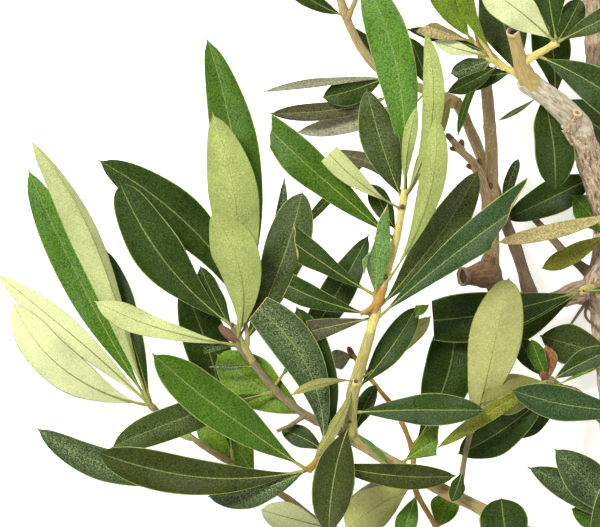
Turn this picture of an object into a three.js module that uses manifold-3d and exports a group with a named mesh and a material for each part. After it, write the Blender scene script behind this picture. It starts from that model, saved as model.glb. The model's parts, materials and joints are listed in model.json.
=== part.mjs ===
// Cut olive branch, lying on the floor as it was cut.
// Millimetres, +Z up. Seen from above, +X is to the right and +Y is up the view.
import * as THREE from 'three';
import Module from 'manifold-3d';

const wasm = await Module();
wasm.setup();

// Driving dimensions
const clearance = 0.3;
const originShift = { x: -32.2, y: -5.6 };
const floorLift = 0.13;
const mainLimbRadius = { butt: 6.9, low: 6.2, knob: 7.4, middle: 5.6, top: 4.0 };
const boughRadius = { upper: [4.8, 3.7], middle: [4.6, 4.2], lower: [2.7, 2.1], bottom: [2.2, 1.6] };
const twigRadius = { middleStem: [2.4, 2.0], back: [2.1, 1.9], budded: [1.7, 1.4] };
const stubRadius = { upper: [2.5, 2.2], middle: [4.0, 3.8] };
const limbSides = 12;
const twigSides = 6;
const ringSpacing = { limb: 9, twig: 7.2 };
const curveTension = 0.5;

const leafShape = { widestAt: 0.6, taper: 1.1, blunt: 0.55, thickness: 1 / 80, leastThickness: 0.8 };
const petiole = { length: 0.06, width: 1.5 };
const budShape = { base: 0.8, tip: 0.4 };
const leafVariation = { arch: 0.06, sway: 0.05, roll: 14 };
const foldDegrees = 13;
const pairHabit = { shrink: 0.25, crossedSpread: 0.4, crossedTilt: 1.6 };
const leafStations = [0, 0.08, 0.32, 0.6, 0.9];
const meshTolerance = 0.02;

// The main limb runs up the right side of the view, its underside on the floor.
const mainLimb = [
  [124, -122, mainLimbRadius.butt],
  [119, -86, mainLimbRadius.butt],
  [116, -50, mainLimbRadius.low],
  [113, -10, mainLimbRadius.knob],
  [114, 30, mainLimbRadius.middle],
  [110, 74, mainLimbRadius.middle - 1],
  [108, 103, mainLimbRadius.top],
];

const barkColor = { limb: 0x9a8468, twig: 0xb39a6c, young: 0xb9a35c };
const leafColor = { deep: 0x3f5a33, grass: 0x55803a, silver: 0x66775a, pale: 0xb4c186, lime: 0x8fae4a };

const radians = THREE.MathUtils.degToRad;
const up = new THREE.Vector3(0, 0, 1);

function seededRandom(seed) {
  let state = seed * 7919 + 13;
  return () => {
    state = (state * 16807) % 2147483647;
    return state / 2147483647;
  };
}

function toManifold(vertices, triangles) {
  const mesh = new wasm.Mesh({
    numProp: 3,
    vertProperties: new Float32Array(vertices.flatMap((v) => [v.x, v.y, v.z])),
    triVerts: new Uint32Array(triangles.flat()),
  });
  return new wasm.Manifold(mesh);
}

function toGeometry(solid) {
  const mesh = solid.simplify(meshTolerance).getMesh();
  const geometry = new THREE.BufferGeometry();
  geometry.setAttribute('position', new THREE.BufferAttribute(mesh.vertProperties, 3));
  geometry.setIndex(new THREE.BufferAttribute(mesh.triVerts, 1));
  geometry.computeVertexNormals();
  return geometry;
}

function pathThrough(points) {
  const corners = points.map(([x, y, z]) => new THREE.Vector3(x, y, z));
  return new THREE.CatmullRomCurve3(corners, false, 'catmullrom', curveTension);
}

function along(values, fraction) {
  const place = fraction * (values.length - 1);
  const index = Math.min(Math.floor(place), values.length - 2);
  return THREE.MathUtils.lerp(values[index], values[index + 1], place - index);
}

// A tapering round limb: rings of the given number of sides carried along a smooth path.
function limbSolid(points, radii, sides, swell = 0) {
  const path = pathThrough(points);
  const spacing = sides === limbSides ? ringSpacing.limb : ringSpacing.twig;
  const rings = Math.max(2, Math.round(path.getLength() / spacing));
  const vertices = [];
  const triangles = [];
  const side = new THREE.Vector3().crossVectors(path.getTangentAt(0), up).normalize();
  for (let ring = 0; ring <= rings; ring += 1) {
    const fraction = ring / rings;
    const centre = path.getPointAt(fraction);
    const tangent = path.getTangentAt(fraction);
    const outward = ring === 0 ? -swell : ring === rings ? swell : 0;
    centre.addScaledVector(tangent, outward);
    side.addScaledVector(tangent, -side.dot(tangent)).normalize();
    const top = new THREE.Vector3().crossVectors(side, tangent);
    const radius = along(radii, path.getUtoTmapping(fraction)) + swell;
    for (let corner = 0; corner < sides; corner += 1) {
      const angle = (corner / sides) * Math.PI * 2;
      const spoke = side.clone().multiplyScalar(Math.cos(angle)).addScaledVector(top, -Math.sin(angle));
      vertices.push(centre.clone().addScaledVector(spoke, radius));
    }
  }
  const first = vertices.length;
  vertices.push(path.getPointAt(0).addScaledVector(path.getTangentAt(0), -swell));
  vertices.push(path.getPointAt(1).addScaledVector(path.getTangentAt(1), swell));
  const lastRing = rings * sides;
  for (let corner = 0; corner < sides; corner += 1) {
    const next = (corner + 1) % sides;
    for (let ring = 0; ring < rings; ring += 1) {
      const here = ring * sides;
      const there = here + sides;
      triangles.push([here + corner, here + next, there + next]);
      triangles.push([here + corner, there + next, there + corner]);
    }
    triangles.push([first, next, corner]);
    triangles.push([first + 1, lastRing + corner, lastRing + next]);
  }
  return toManifold(vertices, triangles);
}

function bladeHalfWidth(leaf, fraction) {
  const place = fraction * leaf.cut;
  const blade = Math.min(1, Math.max(0, (place - petiole.length) / (1 - petiole.length)));
  const beyond = (blade - leaf.widestAt) / (1 - leaf.widestAt);
  const outline = beyond < 0
    ? Math.sin((Math.PI / 2) * (blade / leaf.widestAt)) ** leaf.taper
    : Math.max(0, Math.cos((Math.PI / 2) * beyond)) ** leaf.blunt;
  return Math.max(petiole.width / 2, (leaf.wide / 2) * outline);
}

// A leaf: a thin closed blade from the stem's middle to its tip, thickest along the midrib.
function leafSolid(stemPath, leaf) {
  const base = stemPath.getPointAt(leaf.at);
  const ahead = new THREE.Vector3(Math.cos(radians(leaf.aim)), Math.sin(radians(leaf.aim)), 0);
  const aside = new THREE.Vector3(-ahead.y, ahead.x, 0);
  const thickness = Math.max(leafShape.leastThickness, leaf.reach * leafShape.thickness);
  const place = (t) => base.clone()
    .addScaledVector(ahead, leaf.reach * t)
    .addScaledVector(aside, leaf.sway * 4 * t * (1 - t))
    .addScaledVector(up, leaf.rise * t + leaf.arch * 4 * t * (1 - t));
  const vertices = [];
  const triangles = [];
  const stations = leaf.cut < 1 ? [...leafStations, 1] : leafStations;
  for (const t of stations) {
    const centre = place(t);
    const tangent = place(t + 0.01).sub(place(t - 0.01)).normalize();
    const flat = new THREE.Vector3().crossVectors(tangent, up).normalize();
    const over = new THREE.Vector3().crossVectors(flat, tangent);
    const roll = radians(leaf.roll);
    const side = flat.clone().multiplyScalar(Math.cos(roll)).addScaledVector(over, Math.sin(roll));
    const face = over.clone().multiplyScalar(Math.cos(roll)).addScaledVector(flat, -Math.sin(roll));
    const halfWidth = bladeHalfWidth(leaf, t);
    const reach = halfWidth * Math.cos(radians(leaf.fold));
    const lift = halfWidth * Math.sin(radians(leaf.fold));
    vertices.push(centre.clone().addScaledVector(side, -reach).addScaledVector(face, lift));
    vertices.push(centre.clone().addScaledVector(face, thickness / 2));
    vertices.push(centre.clone().addScaledVector(side, reach).addScaledVector(face, lift));
    vertices.push(centre.clone().addScaledVector(face, -thickness / 2));
  }
  const last = vertices.length - 4;
  for (let here = 0; here < last; here += 4) {
    for (let corner = 0; corner < 4; corner += 1) {
      const next = (corner + 1) % 4;
      triangles.push([here + corner, here + next, here + 4 + next]);
      triangles.push([here + corner, here + 4 + next, here + 4 + corner]);
    }
  }
  triangles.push([0, 3, 1], [1, 3, 2]);
  if (leaf.cut < 1) {
    triangles.push([last, last + 1, last + 3], [last + 1, last + 2, last + 3]);
  } else {
    const tip = vertices.length;
    vertices.push(place(1));
    for (let corner = 0; corner < 4; corner += 1) {
      triangles.push([last + corner, last + (corner + 1) % 4, tip]);
    }
  }
  return toManifold(vertices, triangles);
}

function leaf(at, aim, reach, wide, rise, extras = {}) {
  return { at, aim, reach, wide, rise, ...extras };
}

// A bud: a low-sided egg fused on a stem.
function budSolid(stemPath, bud) {
  const centre = stemPath.getPointAt(bud.at);
  const heading = stemPath.getTangentAt(bud.at);
  const points = [];
  const tip = centre.clone().addScaledVector(heading, bud.length);
  points.push([centre.x, centre.y, centre.z]);
  points.push([(centre.x + tip.x) / 2, (centre.y + tip.y) / 2, (centre.z + tip.z) / 2]);
  points.push([tip.x, tip.y, tip.z]);
  const radii = [bud.radius * budShape.base, bud.radius, bud.radius * budShape.tip];
  return limbSolid(points, radii, twigSides);
}

// Leaves that the view does not reach: opposite pairs, each pair turned a quarter from the last.
function leafPairs({ pairs, from, to, reach, wide, heading, spread, tilt }) {
  const leaves = [];
  for (let pair = 0; pair < pairs; pair += 1) {
    const at = from + ((to - from) * pair) / Math.max(1, pairs - 1);
    const crossed = pair % 2 === 1;
    const size = 1 - pairHabit.shrink * (pair / pairs);
    for (const hand of [-1, 1]) {
      const aim = heading + hand * spread * (crossed ? pairHabit.crossedSpread : 1);
      const rise = reach * tilt * (crossed ? 1 + pairHabit.crossedTilt * hand : 1);
      leaves.push(leaf(at, aim, reach * size, wide, rise * size));
    }
  }
  return leaves;
}

const branch = new THREE.Group();
branch.name = 'cut_olive_branch';
const swollen = {};

function largestPiece(solid) {
  const pieces = solid.decompose();
  pieces.sort((a, b) => b.volume() - a.volume());
  return pieces[0];
}

function addPiece(name, solid, color, roughness) {
  const material = new THREE.MeshStandardMaterial({ color, roughness, metalness: 0 });
  const mesh = new THREE.Mesh(toGeometry(solid), material);
  mesh.name = name;
  branch.add(mesh);
}

function cutClear(solid, neighbours) {
  let result = solid;
  for (const name of neighbours) {
    result = result.subtract(swollen[name]);
  }
  return neighbours.length > 0 ? largestPiece(result) : result;
}

function addLimb(name, { points, radii, sides = limbSides, stub, clearOf = [], color = barkColor.limb }) {
  let solid = limbSolid(points, radii, sides);
  swollen[name] = limbSolid(points, radii, sides, clearance);
  if (stub) {
    solid = solid.add(limbSolid(stub.points, stub.radii, stub.sides ?? sides));
    swollen[name] = swollen[name].add(limbSolid(stub.points, stub.radii, stub.sides ?? sides, clearance));
  }
  addPiece(name, cutClear(solid, clearOf), color, 0.85);
}

function addShoot(name, { stem, radii, leaves, sideTwigs = [], buds = [], clearOf = [], seed, color }) {
  const random = seededRandom(seed);
  const path = pathThrough(stem);
  let wood = limbSolid(stem, radii, twigSides);
  let swollenWood = limbSolid(stem, radii, twigSides, clearance);
  for (const twig of sideTwigs) {
    wood = wood.add(limbSolid(twig.points, twig.radii, twigSides));
    swollenWood = swollenWood.add(limbSolid(twig.points, twig.radii, twigSides, clearance));
  }
  swollen[name] = swollenWood;
  let solid = cutClear(wood, clearOf);
  for (const bud of buds) {
    solid = solid.add(budSolid(path, bud));
  }
  for (const entry of leaves) {
    const arch = entry.reach * leafVariation.arch * (0.4 + random());
    const sway = entry.reach * leafVariation.sway * (2 * random() - 1);
    const roll = leafVariation.roll * (2 * random() - 1) + (entry.under ? 180 : 0);
    const full = { ...leafShape, arch, sway, roll, fold: foldDegrees, cut: 1, ...entry };
    solid = solid.add(leafSolid(path, full));
  }
  addPiece(name, largestPiece(solid), color, 0.6);
}

// Main limb, lying with its underside on the floor and cut square at the butt
addLimb('main_limb', {
  points: mainLimb.map(([x, y, radius]) => [x, y, radius + floorLift]),
  radii: mainLimb.map(([, , radius]) => radius),
});

// Boughs
addLimb('upper_bough', {
  points: [[114, 18, 8], [109, 30, 17], [101, 50, 30], [90, 60, 39], [81, 67, 45]],
  radii: boughRadius.upper,
  stub: { points: [[81, 65, 44], [79, 74, 52], [77, 83, 60]], radii: stubRadius.upper, sides: 8 },
  clearOf: ['main_limb'],
});
addLimb('middle_bough', {
  points: [[112, -10, 8], [95, -14, 15], [84, -10, 19], [72, 1, 22]],
  radii: boughRadius.middle,
  stub: { points: [[74, 0, 21], [66, -3, 22], [59, -4, 23]], radii: stubRadius.middle, sides: 8 },
  clearOf: ['main_limb'],
});
addLimb('lower_bough', {
  points: [[121, -107, 8], [102, -105, 16], [84, -99, 22], [65, -89, 28], [47, -80, 33], [31, -71, 36], [18, -63, 38]],
  radii: boughRadius.lower,
  sides: 8,
  clearOf: ['main_limb'],
  color: barkColor.twig,
});
addLimb('bottom_bough', {
  points: [[97, -104, 16], [80, -108, 12], [65, -108, 11], [50, -106, 10], [37, -104, 10]],
  radii: boughRadius.bottom,
  sides: 8,
  clearOf: ['lower_bough'],
  color: barkColor.twig,
});

// Upright stems and twigs behind the leaves
addLimb('middle_stem', {
  points: [[72, 1, 22], [70, 23, 24], [70, 41, 25], [68, 66, 26], [67, 74, 26]],
  radii: twigRadius.middleStem,
  sides: 8,
  clearOf: ['middle_bough'],
  color: barkColor.twig,
});
addLimb('back_twig', {
  points: [[87, -10, 16], [76, 18, 13], [70, 32, 12], [62, 50, 13], [57, 59, 14]],
  radii: twigRadius.back,
  sides: 8,
  clearOf: ['middle_bough'],
  color: barkColor.twig,
});
addLimb('budded_twig', {
  points: [[69, 19, 24], [65, 27, 28], [62, 36, 31], [55, 49, 34]],
  radii: twigRadius.budded,
  sides: 8,
  clearOf: ['middle_stem'],
  color: barkColor.twig,
});

// Leafy shoots in the view. Each leaf: place on the stem, aim, reach, width, rise of the tip.
addShoot('left_shoot', {
  stem: [[17, -62, 38], [2, -55, 40], [-9, -46, 42], [-17, -36, 44], [-22, -30, 46], [-24, -23, 48]],
  radii: [1.6, 1.1],
  clearOf: ['lower_bough'],
  buds: [{ at: 1, length: 5, radius: 1.8 }],
  leaves: [
    leaf(1, 128, 67, 18, 12, { sway: 5 }),
    leaf(0.91, 101, 48, 17, 27, { under: true, sway: -6 }),
    leaf(0.93, 96, 82, 18, 19, { under: true, sway: -5 }),
    leaf(0.9, 96, 112, 17, -3, { sway: -7 }),
    leaf(0.93, 128, 82, 17, -5, { sway: -8.5 }),
    leaf(0.88, 163, 55, 10, 0, { under: true, sway: 2.5 }),
    leaf(0.87, 182, 13, 5, -2, { cut: 0.5 }),
    leaf(0.79, 73, 63, 13, 1, { sway: -8, widestAt: 0.72, blunt: 0.4 }),
    leaf(0.21, 118, 47, 19, 16, { sway: -6 }),
    leaf(0.51, 199, 64, 13, -10, { sway: -2 }),
    leaf(0.25, 146, 41, 19, -10),
    leaf(0.91, 74, 62, 5, -7, { sway: -4 }),
    leaf(0.54, 58, 66, 12, -8, { sway: -1.5 }),
    leaf(0.71, 181, 17, 2, -4),
  ],
  seed: 1,
  color: leafColor.deep,
});
addShoot('lower_front_shoot', {
  stem: [[17, -63, 39], [9, -69, 42], [3, -75, 46]],
  radii: [1.3, 1.0],
  clearOf: ['lower_bough', 'left_shoot'],
  leaves: [
    leaf(1, 143, 71, 17, 14, { sway: 1.5 }),
    leaf(1, 175, 77, 15, -2, { sway: 6, arch: -2, widestAt: 0.64, blunt: 0.4 }),
    leaf(0.94, 196, 39, 12, -15, { sway: 2.5 }),
    leaf(0.3, -14, 46, 9, -5, { sway: -5 }),
  ],
  seed: 2,
  color: leafColor.grass,
});
addShoot('center_shoot', {
  stem: [[18, -63, 38], [19, -48, 44], [24, -30, 50], [27, -19, 53], [30, -8, 55], [35, 10, 59], [38, 27, 62]],
  radii: [2.1, 1.6, 1.1],
  clearOf: ['lower_bough', 'left_shoot', 'lower_front_shoot'],
  leaves: [
    leaf(0.06, -101, 38, 16, 24, { sway: -2 }),
    leaf(0.03, -42, 18, 5, 11, { roll: 60 }),
    leaf(0.1, 1, 49, 12, 8),
    leaf(0.23, -118, 32, 5, -2, { under: true }),
    leaf(0.23, -168, 24, 4.5, 4, { under: true, arch: 4, sway: -2 }),
    leaf(0.23, 51, 37, 8, -2),
    leaf(0.47, 44, 54, 14, 14, { cut: 0.68 }),
    leaf(0.52, 54, 63, 13, 5, { sway: -1 }),
    leaf(0.49, -168, 24, 8, -3, { cut: 0.6 }),
    leaf(0.57, 144, 36, 12, 6, { cut: 0.5, taper: 1.3 }),
    leaf(0.5, 161, 33, 10, 3, { cut: 0.6 }),
    leaf(0.57, 82, 22, 9.5, 10, { cut: 0.55, taper: 0.8 }),
    leaf(0.83, 140, 60, 13.5, 3, { cut: 0.85, sway: 1.5 }),
    leaf(0.92, 143, 33, 8, 13, { under: true, cut: 0.75 }),
    leaf(0.95, 108, 43, 14, 2, { widestAt: 0.5, sway: 1 }),
    leaf(0.99, 101, 82, 16, 16, { sway: -5.5 }),
    leaf(0.99, 82, 31, 5, 8, { under: true }),
    leaf(0.96, 83, 61, 8, 13, { under: true, sway: -6.5 }),
    leaf(0.61, 73, 65, 10, 27, { under: true, sway: -6.2 }),
    leaf(0.93, 66, 30, 6, 3, { under: true }),
    leaf(0.83, 118, 17, 5, 1),
    leaf(0.97, 149, 26, 6, -6, { cut: 0.8 }),
  ],
  seed: 3,
  color: leafColor.grass,
});
addShoot('far_left_shoot', {
  stem: [[37, -104, 10], [11, -97, 10], [-5, -86, 11], [-22, -75, 11], [-34, -68, 12], [-42, -62, 12], [-55, -52, 14]],
  radii: [1.5, 1.2, 0.9],
  clearOf: ['bottom_bough'],
  leaves: [
    leaf(1, 114.3, 105.4, 16, 16, { under: true, sway: -6.4 }),
    leaf(1, 117.3, 98.2, 14, -2, { sway: 2 }),
    leaf(0.99, 106.7, 60.8, 10, -10, { sway: 0 }),
    leaf(1, 142.6, 63.2, 16, 10, { under: true, sway: 8.5 }),
    leaf(0.99, 139.7, 76.3, 10, -13, { under: true, sway: -1 }),
    leaf(0.63, 169, 76, 13, -4, { sway: 9 }),
    leaf(0.55, 137, 31, 15, 11),
    leaf(0.78, 155, 11, 3, 5, { under: true }),
    leaf(0.65, 108, 70, 13, 11, { sway: -3 }),
    leaf(0.26, 165, 25, 13, -1, { under: true }),
    leaf(0.15, -108, 23, 15, -2),
    leaf(0.06, -55, 29, 14, -2),
  ],
  seed: 4,
  color: leafColor.pale,
});
addShoot('top_left_shoot', {
  stem: [[57, 59, 14], [45, 64, 17], [35, 67, 20], [25, 75, 24], [18, 89, 28], [14, 107, 32]],
  radii: [1.9, 1.2],
  clearOf: ['back_twig'],
  sideTwigs: [{ points: [[42, 65, 18], [38, 86, 24], [31, 98, 28]], radii: [1.2, 0.9] }],
  leaves: [
    leaf(0.35, -174, 48, 2, 10, { sway: -1.5 }),
    leaf(0.38, -162, 25, 9, 3),
    leaf(0.34, -164, 47, 6.5, -2, { sway: 4 }),
    leaf(0.32, -153, 41, 7, -8, { sway: 2.5 }),
    leaf(0.79, -65, 21, 9, 5),
    leaf(0.81, 165, 25, 9, 5),
    leaf(0.13, 113, 22, 8, 10),
    leaf(0.16, -125, 67.6, 3, -9),
    leaf(0.9, 140, 40, 12, 8),
    leaf(0.92, 70, 42, 12, 4),
    leaf(0.99, 118, 48, 13, 10),
    leaf(0.99, 96, 44, 12, -4, { under: true }),
  ],
  seed: 5,
  color: leafColor.silver,
});
addShoot('upper_left_shoot', {
  stem: [[80, 68, 46], [72, 73, 48], [67, 79, 50], [62, 90, 54], [58, 105, 58]],
  radii: [1.3, 0.8],
  clearOf: ['upper_bough'],
  leaves: [
    leaf(0.5, 118, 29, 11, 14),
    leaf(0.46, 109, 26, 8, 6),
    leaf(0.41, 164, 20, 5, 7, { cut: 0.6, under: true }),
    leaf(0.26, 169, 21, 5, 4, { under: true }),
    leaf(0.29, 163, 32, 5, -3),
    leaf(0.26, -154, 20, 7, -5),
    leaf(0.19, -145, 22, 8, -8),
    leaf(0.06, -147, 22, 9, -10),
    leaf(0.16, -121, 30, 3, -14, { sway: -2.5 }),
    leaf(0.85, 140, 34, 10, 4),
    leaf(0.9, 70, 36, 10, 8),
    leaf(0.99, 118, 40, 11, 12),
    leaf(0.99, 95, 38, 11, 0),
  ],
  seed: 6,
  color: leafColor.lime,
});
addShoot('upper_right_shoot', {
  stem: [[82, 69, 47], [87, 76, 52], [93, 80, 56]],
  radii: [1.5, 1.2],
  clearOf: ['upper_bough', 'upper_left_shoot'],
  leaves: [
    leaf(0.97, 143, 35, 15, 14, { under: true }),
    leaf(1.0, 97, 34, 13, 6),
    leaf(1.0, 62, 18, 9, 0),
    leaf(0.97, 25, 34, 9, 8),
    leaf(0.53, -34, 48, 16, 4),
  ],
  seed: 7,
  color: leafColor.deep,
});
addShoot('under_bough_shoot', {
  stem: [[91, 61, 38], [89, 62, 33], [87, 61, 29]],
  radii: [1.1, 0.9],
  clearOf: ['upper_bough'],
  leaves: [leaf(0.9, -81, 35, 15, -4), leaf(1.0, -149, 17, 2, 1)],
  seed: 8,
  color: leafColor.deep,
});
addShoot('crotch_shoot', {
  stem: [[112, 25, 5], [105, 29, 8]],
  radii: [1.1, 1.0],
  clearOf: ['main_limb', 'upper_bough'],
  leaves: [leaf(0.87, -159, 33, 10, 0, { arch: 1 })],
  seed: 9,
  color: leafColor.deep,
});
addShoot('limb_side_shoot', {
  stem: [[116, 18, 9], [119, 19, 18], [122, 21, 26]],
  radii: [1.4, 1.1],
  clearOf: ['main_limb', 'upper_bough'],
  leaves: [
    leaf(0.71, -166, 50, 6, 9, { under: true, sway: 1 }),
    leaf(0.59, -146, 37, 7, -2, { sway: -1.5 }),
    leaf(0.47, -171, 24, 11, -2),
    leaf(0.9, 20, 44, 13, 6),
    leaf(0.98, 75, 40, 12, 10),
    leaf(0.98, -18, 46, 13, 6),
  ],
  seed: 10,
  color: leafColor.lime,
});
addShoot('knob_shoot', {
  stem: [[109, -9, 12], [105, -9, 20], [103, -10, 25]],
  radii: [1.3, 1.1],
  clearOf: ['main_limb', 'middle_bough'],
  leaves: [leaf(0.84, -168.5, 56.4, 18, 7, { cut: 0.8 }), leaf(0.95, 10, 40, 13, 6)],
  seed: 11,
  color: leafColor.deep,
});
addShoot('right_mid_shoot', {
  stem: [[115, -32, 10], [120, -30, 19], [127, -26, 28]],
  radii: [1.4, 1.1],
  clearOf: ['main_limb'],
  leaves: [
    leaf(0.42, 171, 32, 14, 5, { sway: 3.5 }),
    leaf(0.8, 40, 44, 13, 4),
    leaf(0.85, -40, 42, 13, -2),
    leaf(0.99, 5, 50, 14, 8),
    leaf(0.99, 66, 46, 12, 16, { under: true }),
  ],
  seed: 12,
  color: leafColor.deep,
});
addShoot('right_low_shoot', {
  stem: [[116, -50, 10], [121, -51, 24], [124, -57, 38]],
  radii: [1.5, 1.1],
  clearOf: ['main_limb'],
  leaves: [
    leaf(0.76, 170, 47, 13, 17, { sway: 2 }),
    leaf(0.8, -10, 46, 13, 2),
    leaf(0.97, -60, 44, 12, 6),
    leaf(0.97, 25, 42, 12, 10, { under: true }),
  ],
  seed: 13,
  color: leafColor.silver,
});
addShoot('right_twig', {
  stem: [[114, -61, 8], [107, -54, 18], [98, -47, 28], [90, -42, 34]],
  radii: [1.5, 1.1],
  clearOf: ['main_limb'],
  buds: [{ at: 1, length: 5, radius: 1.7 }],
  leaves: [
    leaf(0.98, -161, 24, 12, 9, { under: true }),
    leaf(0.99, 117, 18, 5, 3),
    leaf(0.95, 32, 25, 9, 3),
    leaf(0.83, 30, 14, 2, 10),
    leaf(0.82, -154, 50, 7, 8),
    leaf(0.9, -144, 44, 15, -6, { sway: 2.5 }),
    leaf(0.74, -138, 26, 9, -9),
  ],
  seed: 14,
  color: leafColor.deep,
});
addShoot('inner_twig', {
  stem: [[58, -86, 30], [60, -71, 33], [64, -54, 36]],
  radii: [1.1, 0.9],
  clearOf: ['lower_bough'],
  leaves: [leaf(1, 76, 51, 18, 10, { under: true, sway: 1.5 }), leaf(0.33, -110, 12, 6, 6)],
  seed: 15,
  color: leafColor.pale,
});
addShoot('bottom_twig', {
  stem: [[55, -106, 11], [49, -95, 15], [42, -82, 20], [41, -68, 23], [35, -54, 26], [28, -45, 28], [19, -33, 31]],
  radii: [1.1, 0.8],
  clearOf: ['bottom_bough'],
  leaves: [
    leaf(0.51, 78, 60, 16, 11, { sway: -3 }),
    leaf(0.46, 45, 13, 9, 9, { cut: 0.6 }),
    leaf(0.31, -112, 18, 8, 8),
    leaf(0.36, -135, 25, 15, -2, { under: true }),
    leaf(0.42, -147, 30, 11, 0),
    leaf(0.99, -162, 11, 7, 2),
    leaf(0.12, 75, 14, 11, -1),
  ],
  seed: 16,
  color: leafColor.grass,
});
addShoot('bottom_shoot', {
  stem: [[84, -99, 22], [80, -106, 30], [75, -113, 36]],
  radii: [1.2, 1.0],
  clearOf: ['lower_bough'],
  leaves: [
    leaf(0.77, 100, 25, 18, 9, { blunt: 0.35 }),
    leaf(0.9, -60, 40, 13, 4),
    leaf(0.98, -125, 42, 13, 6, { under: true }),
    leaf(0.99, -95, 46, 13, 10),
  ],
  seed: 17,
  color: leafColor.deep,
});
addShoot('butt_shoot', {
  stem: [[119, -99, 13], [122, -96, 22], [127, -91, 30]],
  radii: [1.3, 1.1],
  clearOf: ['main_limb'],
  leaves: [
    leaf(0.35, 134, 41, 15, 14),
    leaf(0.23, 148, 44, 9, 7, { sway: -2 }),
    leaf(0.1, 157, 22, 9, 3),
    leaf(0.8, -20, 42, 13, 0),
    leaf(0.98, 35, 46, 13, 6),
    leaf(0.98, -70, 40, 12, 8, { under: true }),
  ],
  seed: 18,
  color: leafColor.deep,
});

// Leafy shoots beyond the view
addShoot('middle_top_shoot', {
  stem: [[67, 75, 27], [65, 84, 30], [62, 97, 34], [60, 110, 38]],
  radii: [1.6, 0.9],
  clearOf: ['middle_stem'],
  leaves: leafPairs({ pairs: 3, from: 0.6, to: 1, reach: 42, wide: 12, heading: 98, spread: 48, tilt: 0.12 }),
  seed: 19,
  color: leafColor.deep,
});
addShoot('leader_shoot', {
  stem: [[108, 100, 4], [105, 118, 11], [101, 136, 20]],
  radii: [3.0, 1.2],
  clearOf: ['main_limb'],
  leaves: leafPairs({ pairs: 5, from: 0.25, to: 1, reach: 48, wide: 13, heading: 103, spread: 52, tilt: 0.2 }),
  seed: 20,
  color: leafColor.deep,
});
addShoot('right_upper_shoot', {
  stem: [[113, 48, 6], [128, 58, 14], [140, 74, 24]],
  radii: [1.9, 1.1],
  clearOf: ['main_limb'],
  leaves: leafPairs({ pairs: 4, from: 0.4, to: 1, reach: 46, wide: 13, heading: 50, spread: 50, tilt: 0.2 }),
  seed: 21,
  color: leafColor.silver,
});

branch.position.set(originShift.x, originShift.y, 0);

export default branch;
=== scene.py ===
# Cut olive branch: the looks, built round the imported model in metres
import json
import math
import bpy
import numpy as np
from mathutils import Matrix, Vector

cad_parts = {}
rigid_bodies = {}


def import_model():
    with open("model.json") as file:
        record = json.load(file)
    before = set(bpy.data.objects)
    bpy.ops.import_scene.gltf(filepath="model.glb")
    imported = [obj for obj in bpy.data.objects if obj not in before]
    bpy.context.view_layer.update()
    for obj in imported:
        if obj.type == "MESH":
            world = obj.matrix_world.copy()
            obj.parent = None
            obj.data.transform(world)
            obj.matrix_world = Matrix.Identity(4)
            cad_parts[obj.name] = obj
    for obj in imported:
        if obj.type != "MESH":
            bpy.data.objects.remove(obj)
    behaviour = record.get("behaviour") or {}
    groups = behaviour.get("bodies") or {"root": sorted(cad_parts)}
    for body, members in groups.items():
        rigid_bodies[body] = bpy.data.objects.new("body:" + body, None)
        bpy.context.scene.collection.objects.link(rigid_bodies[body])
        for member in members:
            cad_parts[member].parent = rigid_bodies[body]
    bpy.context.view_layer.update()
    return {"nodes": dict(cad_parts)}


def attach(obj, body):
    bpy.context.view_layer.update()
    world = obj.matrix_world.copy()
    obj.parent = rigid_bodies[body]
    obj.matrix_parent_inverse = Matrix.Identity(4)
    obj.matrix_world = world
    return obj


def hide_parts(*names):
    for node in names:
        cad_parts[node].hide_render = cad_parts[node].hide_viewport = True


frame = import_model()
print("frame loaded:", len(frame["nodes"]), "nodes")

millimetre = 0.001
originShift = Vector((-32.2, -5.6, 0))    # the model's origin is under the middle of its box
body = "root"


# Node building

def place(tree, kind, inputs=None, **settings):
    item = tree.nodes.new(kind)
    for name, value in settings.items():
        setattr(item, name, value)
    for key, value in (inputs or {}).items():
        socket = item.inputs[key]
        if isinstance(value, bpy.types.NodeSocket):
            tree.links.new(value, socket)
        else:
            socket.default_value = value
    return item


def calculate(tree, operation, first, second=0.0, third=0.0):
    return place(tree, "ShaderNodeMath", {0: first, 1: second, 2: third}, operation=operation).outputs[0]


def product(tree, first, *others):
    for other in others:
        first = calculate(tree, "MULTIPLY", first, other)
    return first


def combine(tree, operation, first, second):
    item = place(tree, "ShaderNodeVectorMath", {0: first, 1: second}, operation=operation)
    return item.outputs["Value" if operation == "DOT_PRODUCT" else 0]


def stretch(tree, vector, size):
    return place(tree, "ShaderNodeVectorMath", {0: vector, "Scale": size}, operation="SCALE").outputs[0]


def remap(tree, value, low, high, toLow=0.0, toHigh=1.0, **settings):
    limits = {"Value": value, "From Min": low, "From Max": high, "To Min": toLow, "To Max": toHigh}
    return place(tree, "ShaderNodeMapRange", limits, **settings).outputs["Result"]


def noise(tree, where, scale, detail, **others):
    inputs = {"Vector": where, "Scale": scale, "Detail": detail, **others}
    return place(tree, "ShaderNodeTexNoise", inputs).outputs["Fac"]


def cells(tree, where, scale):
    inputs = {"Vector": where, "Scale": scale, "Randomness": 1.0}
    return place(tree, "ShaderNodeTexVoronoi", inputs).outputs["Distance"]


def mixColors(tree, part, first, second):
    inputs = {"Factor": part, 6: first, 7: second}
    return place(tree, "ShaderNodeMix", inputs, data_type="RGBA").outputs[2]


def unroll(tree, around, along, start=0.0):    # a limb's skin: its turn crosswise, its length upward
    upward = calculate(tree, "MULTIPLY_ADD", along, barkGrain["unroll"], start)
    return combine(tree, "ADD", around, place(tree, "ShaderNodeCombineXYZ", {2: upward}).outputs[0])


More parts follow.
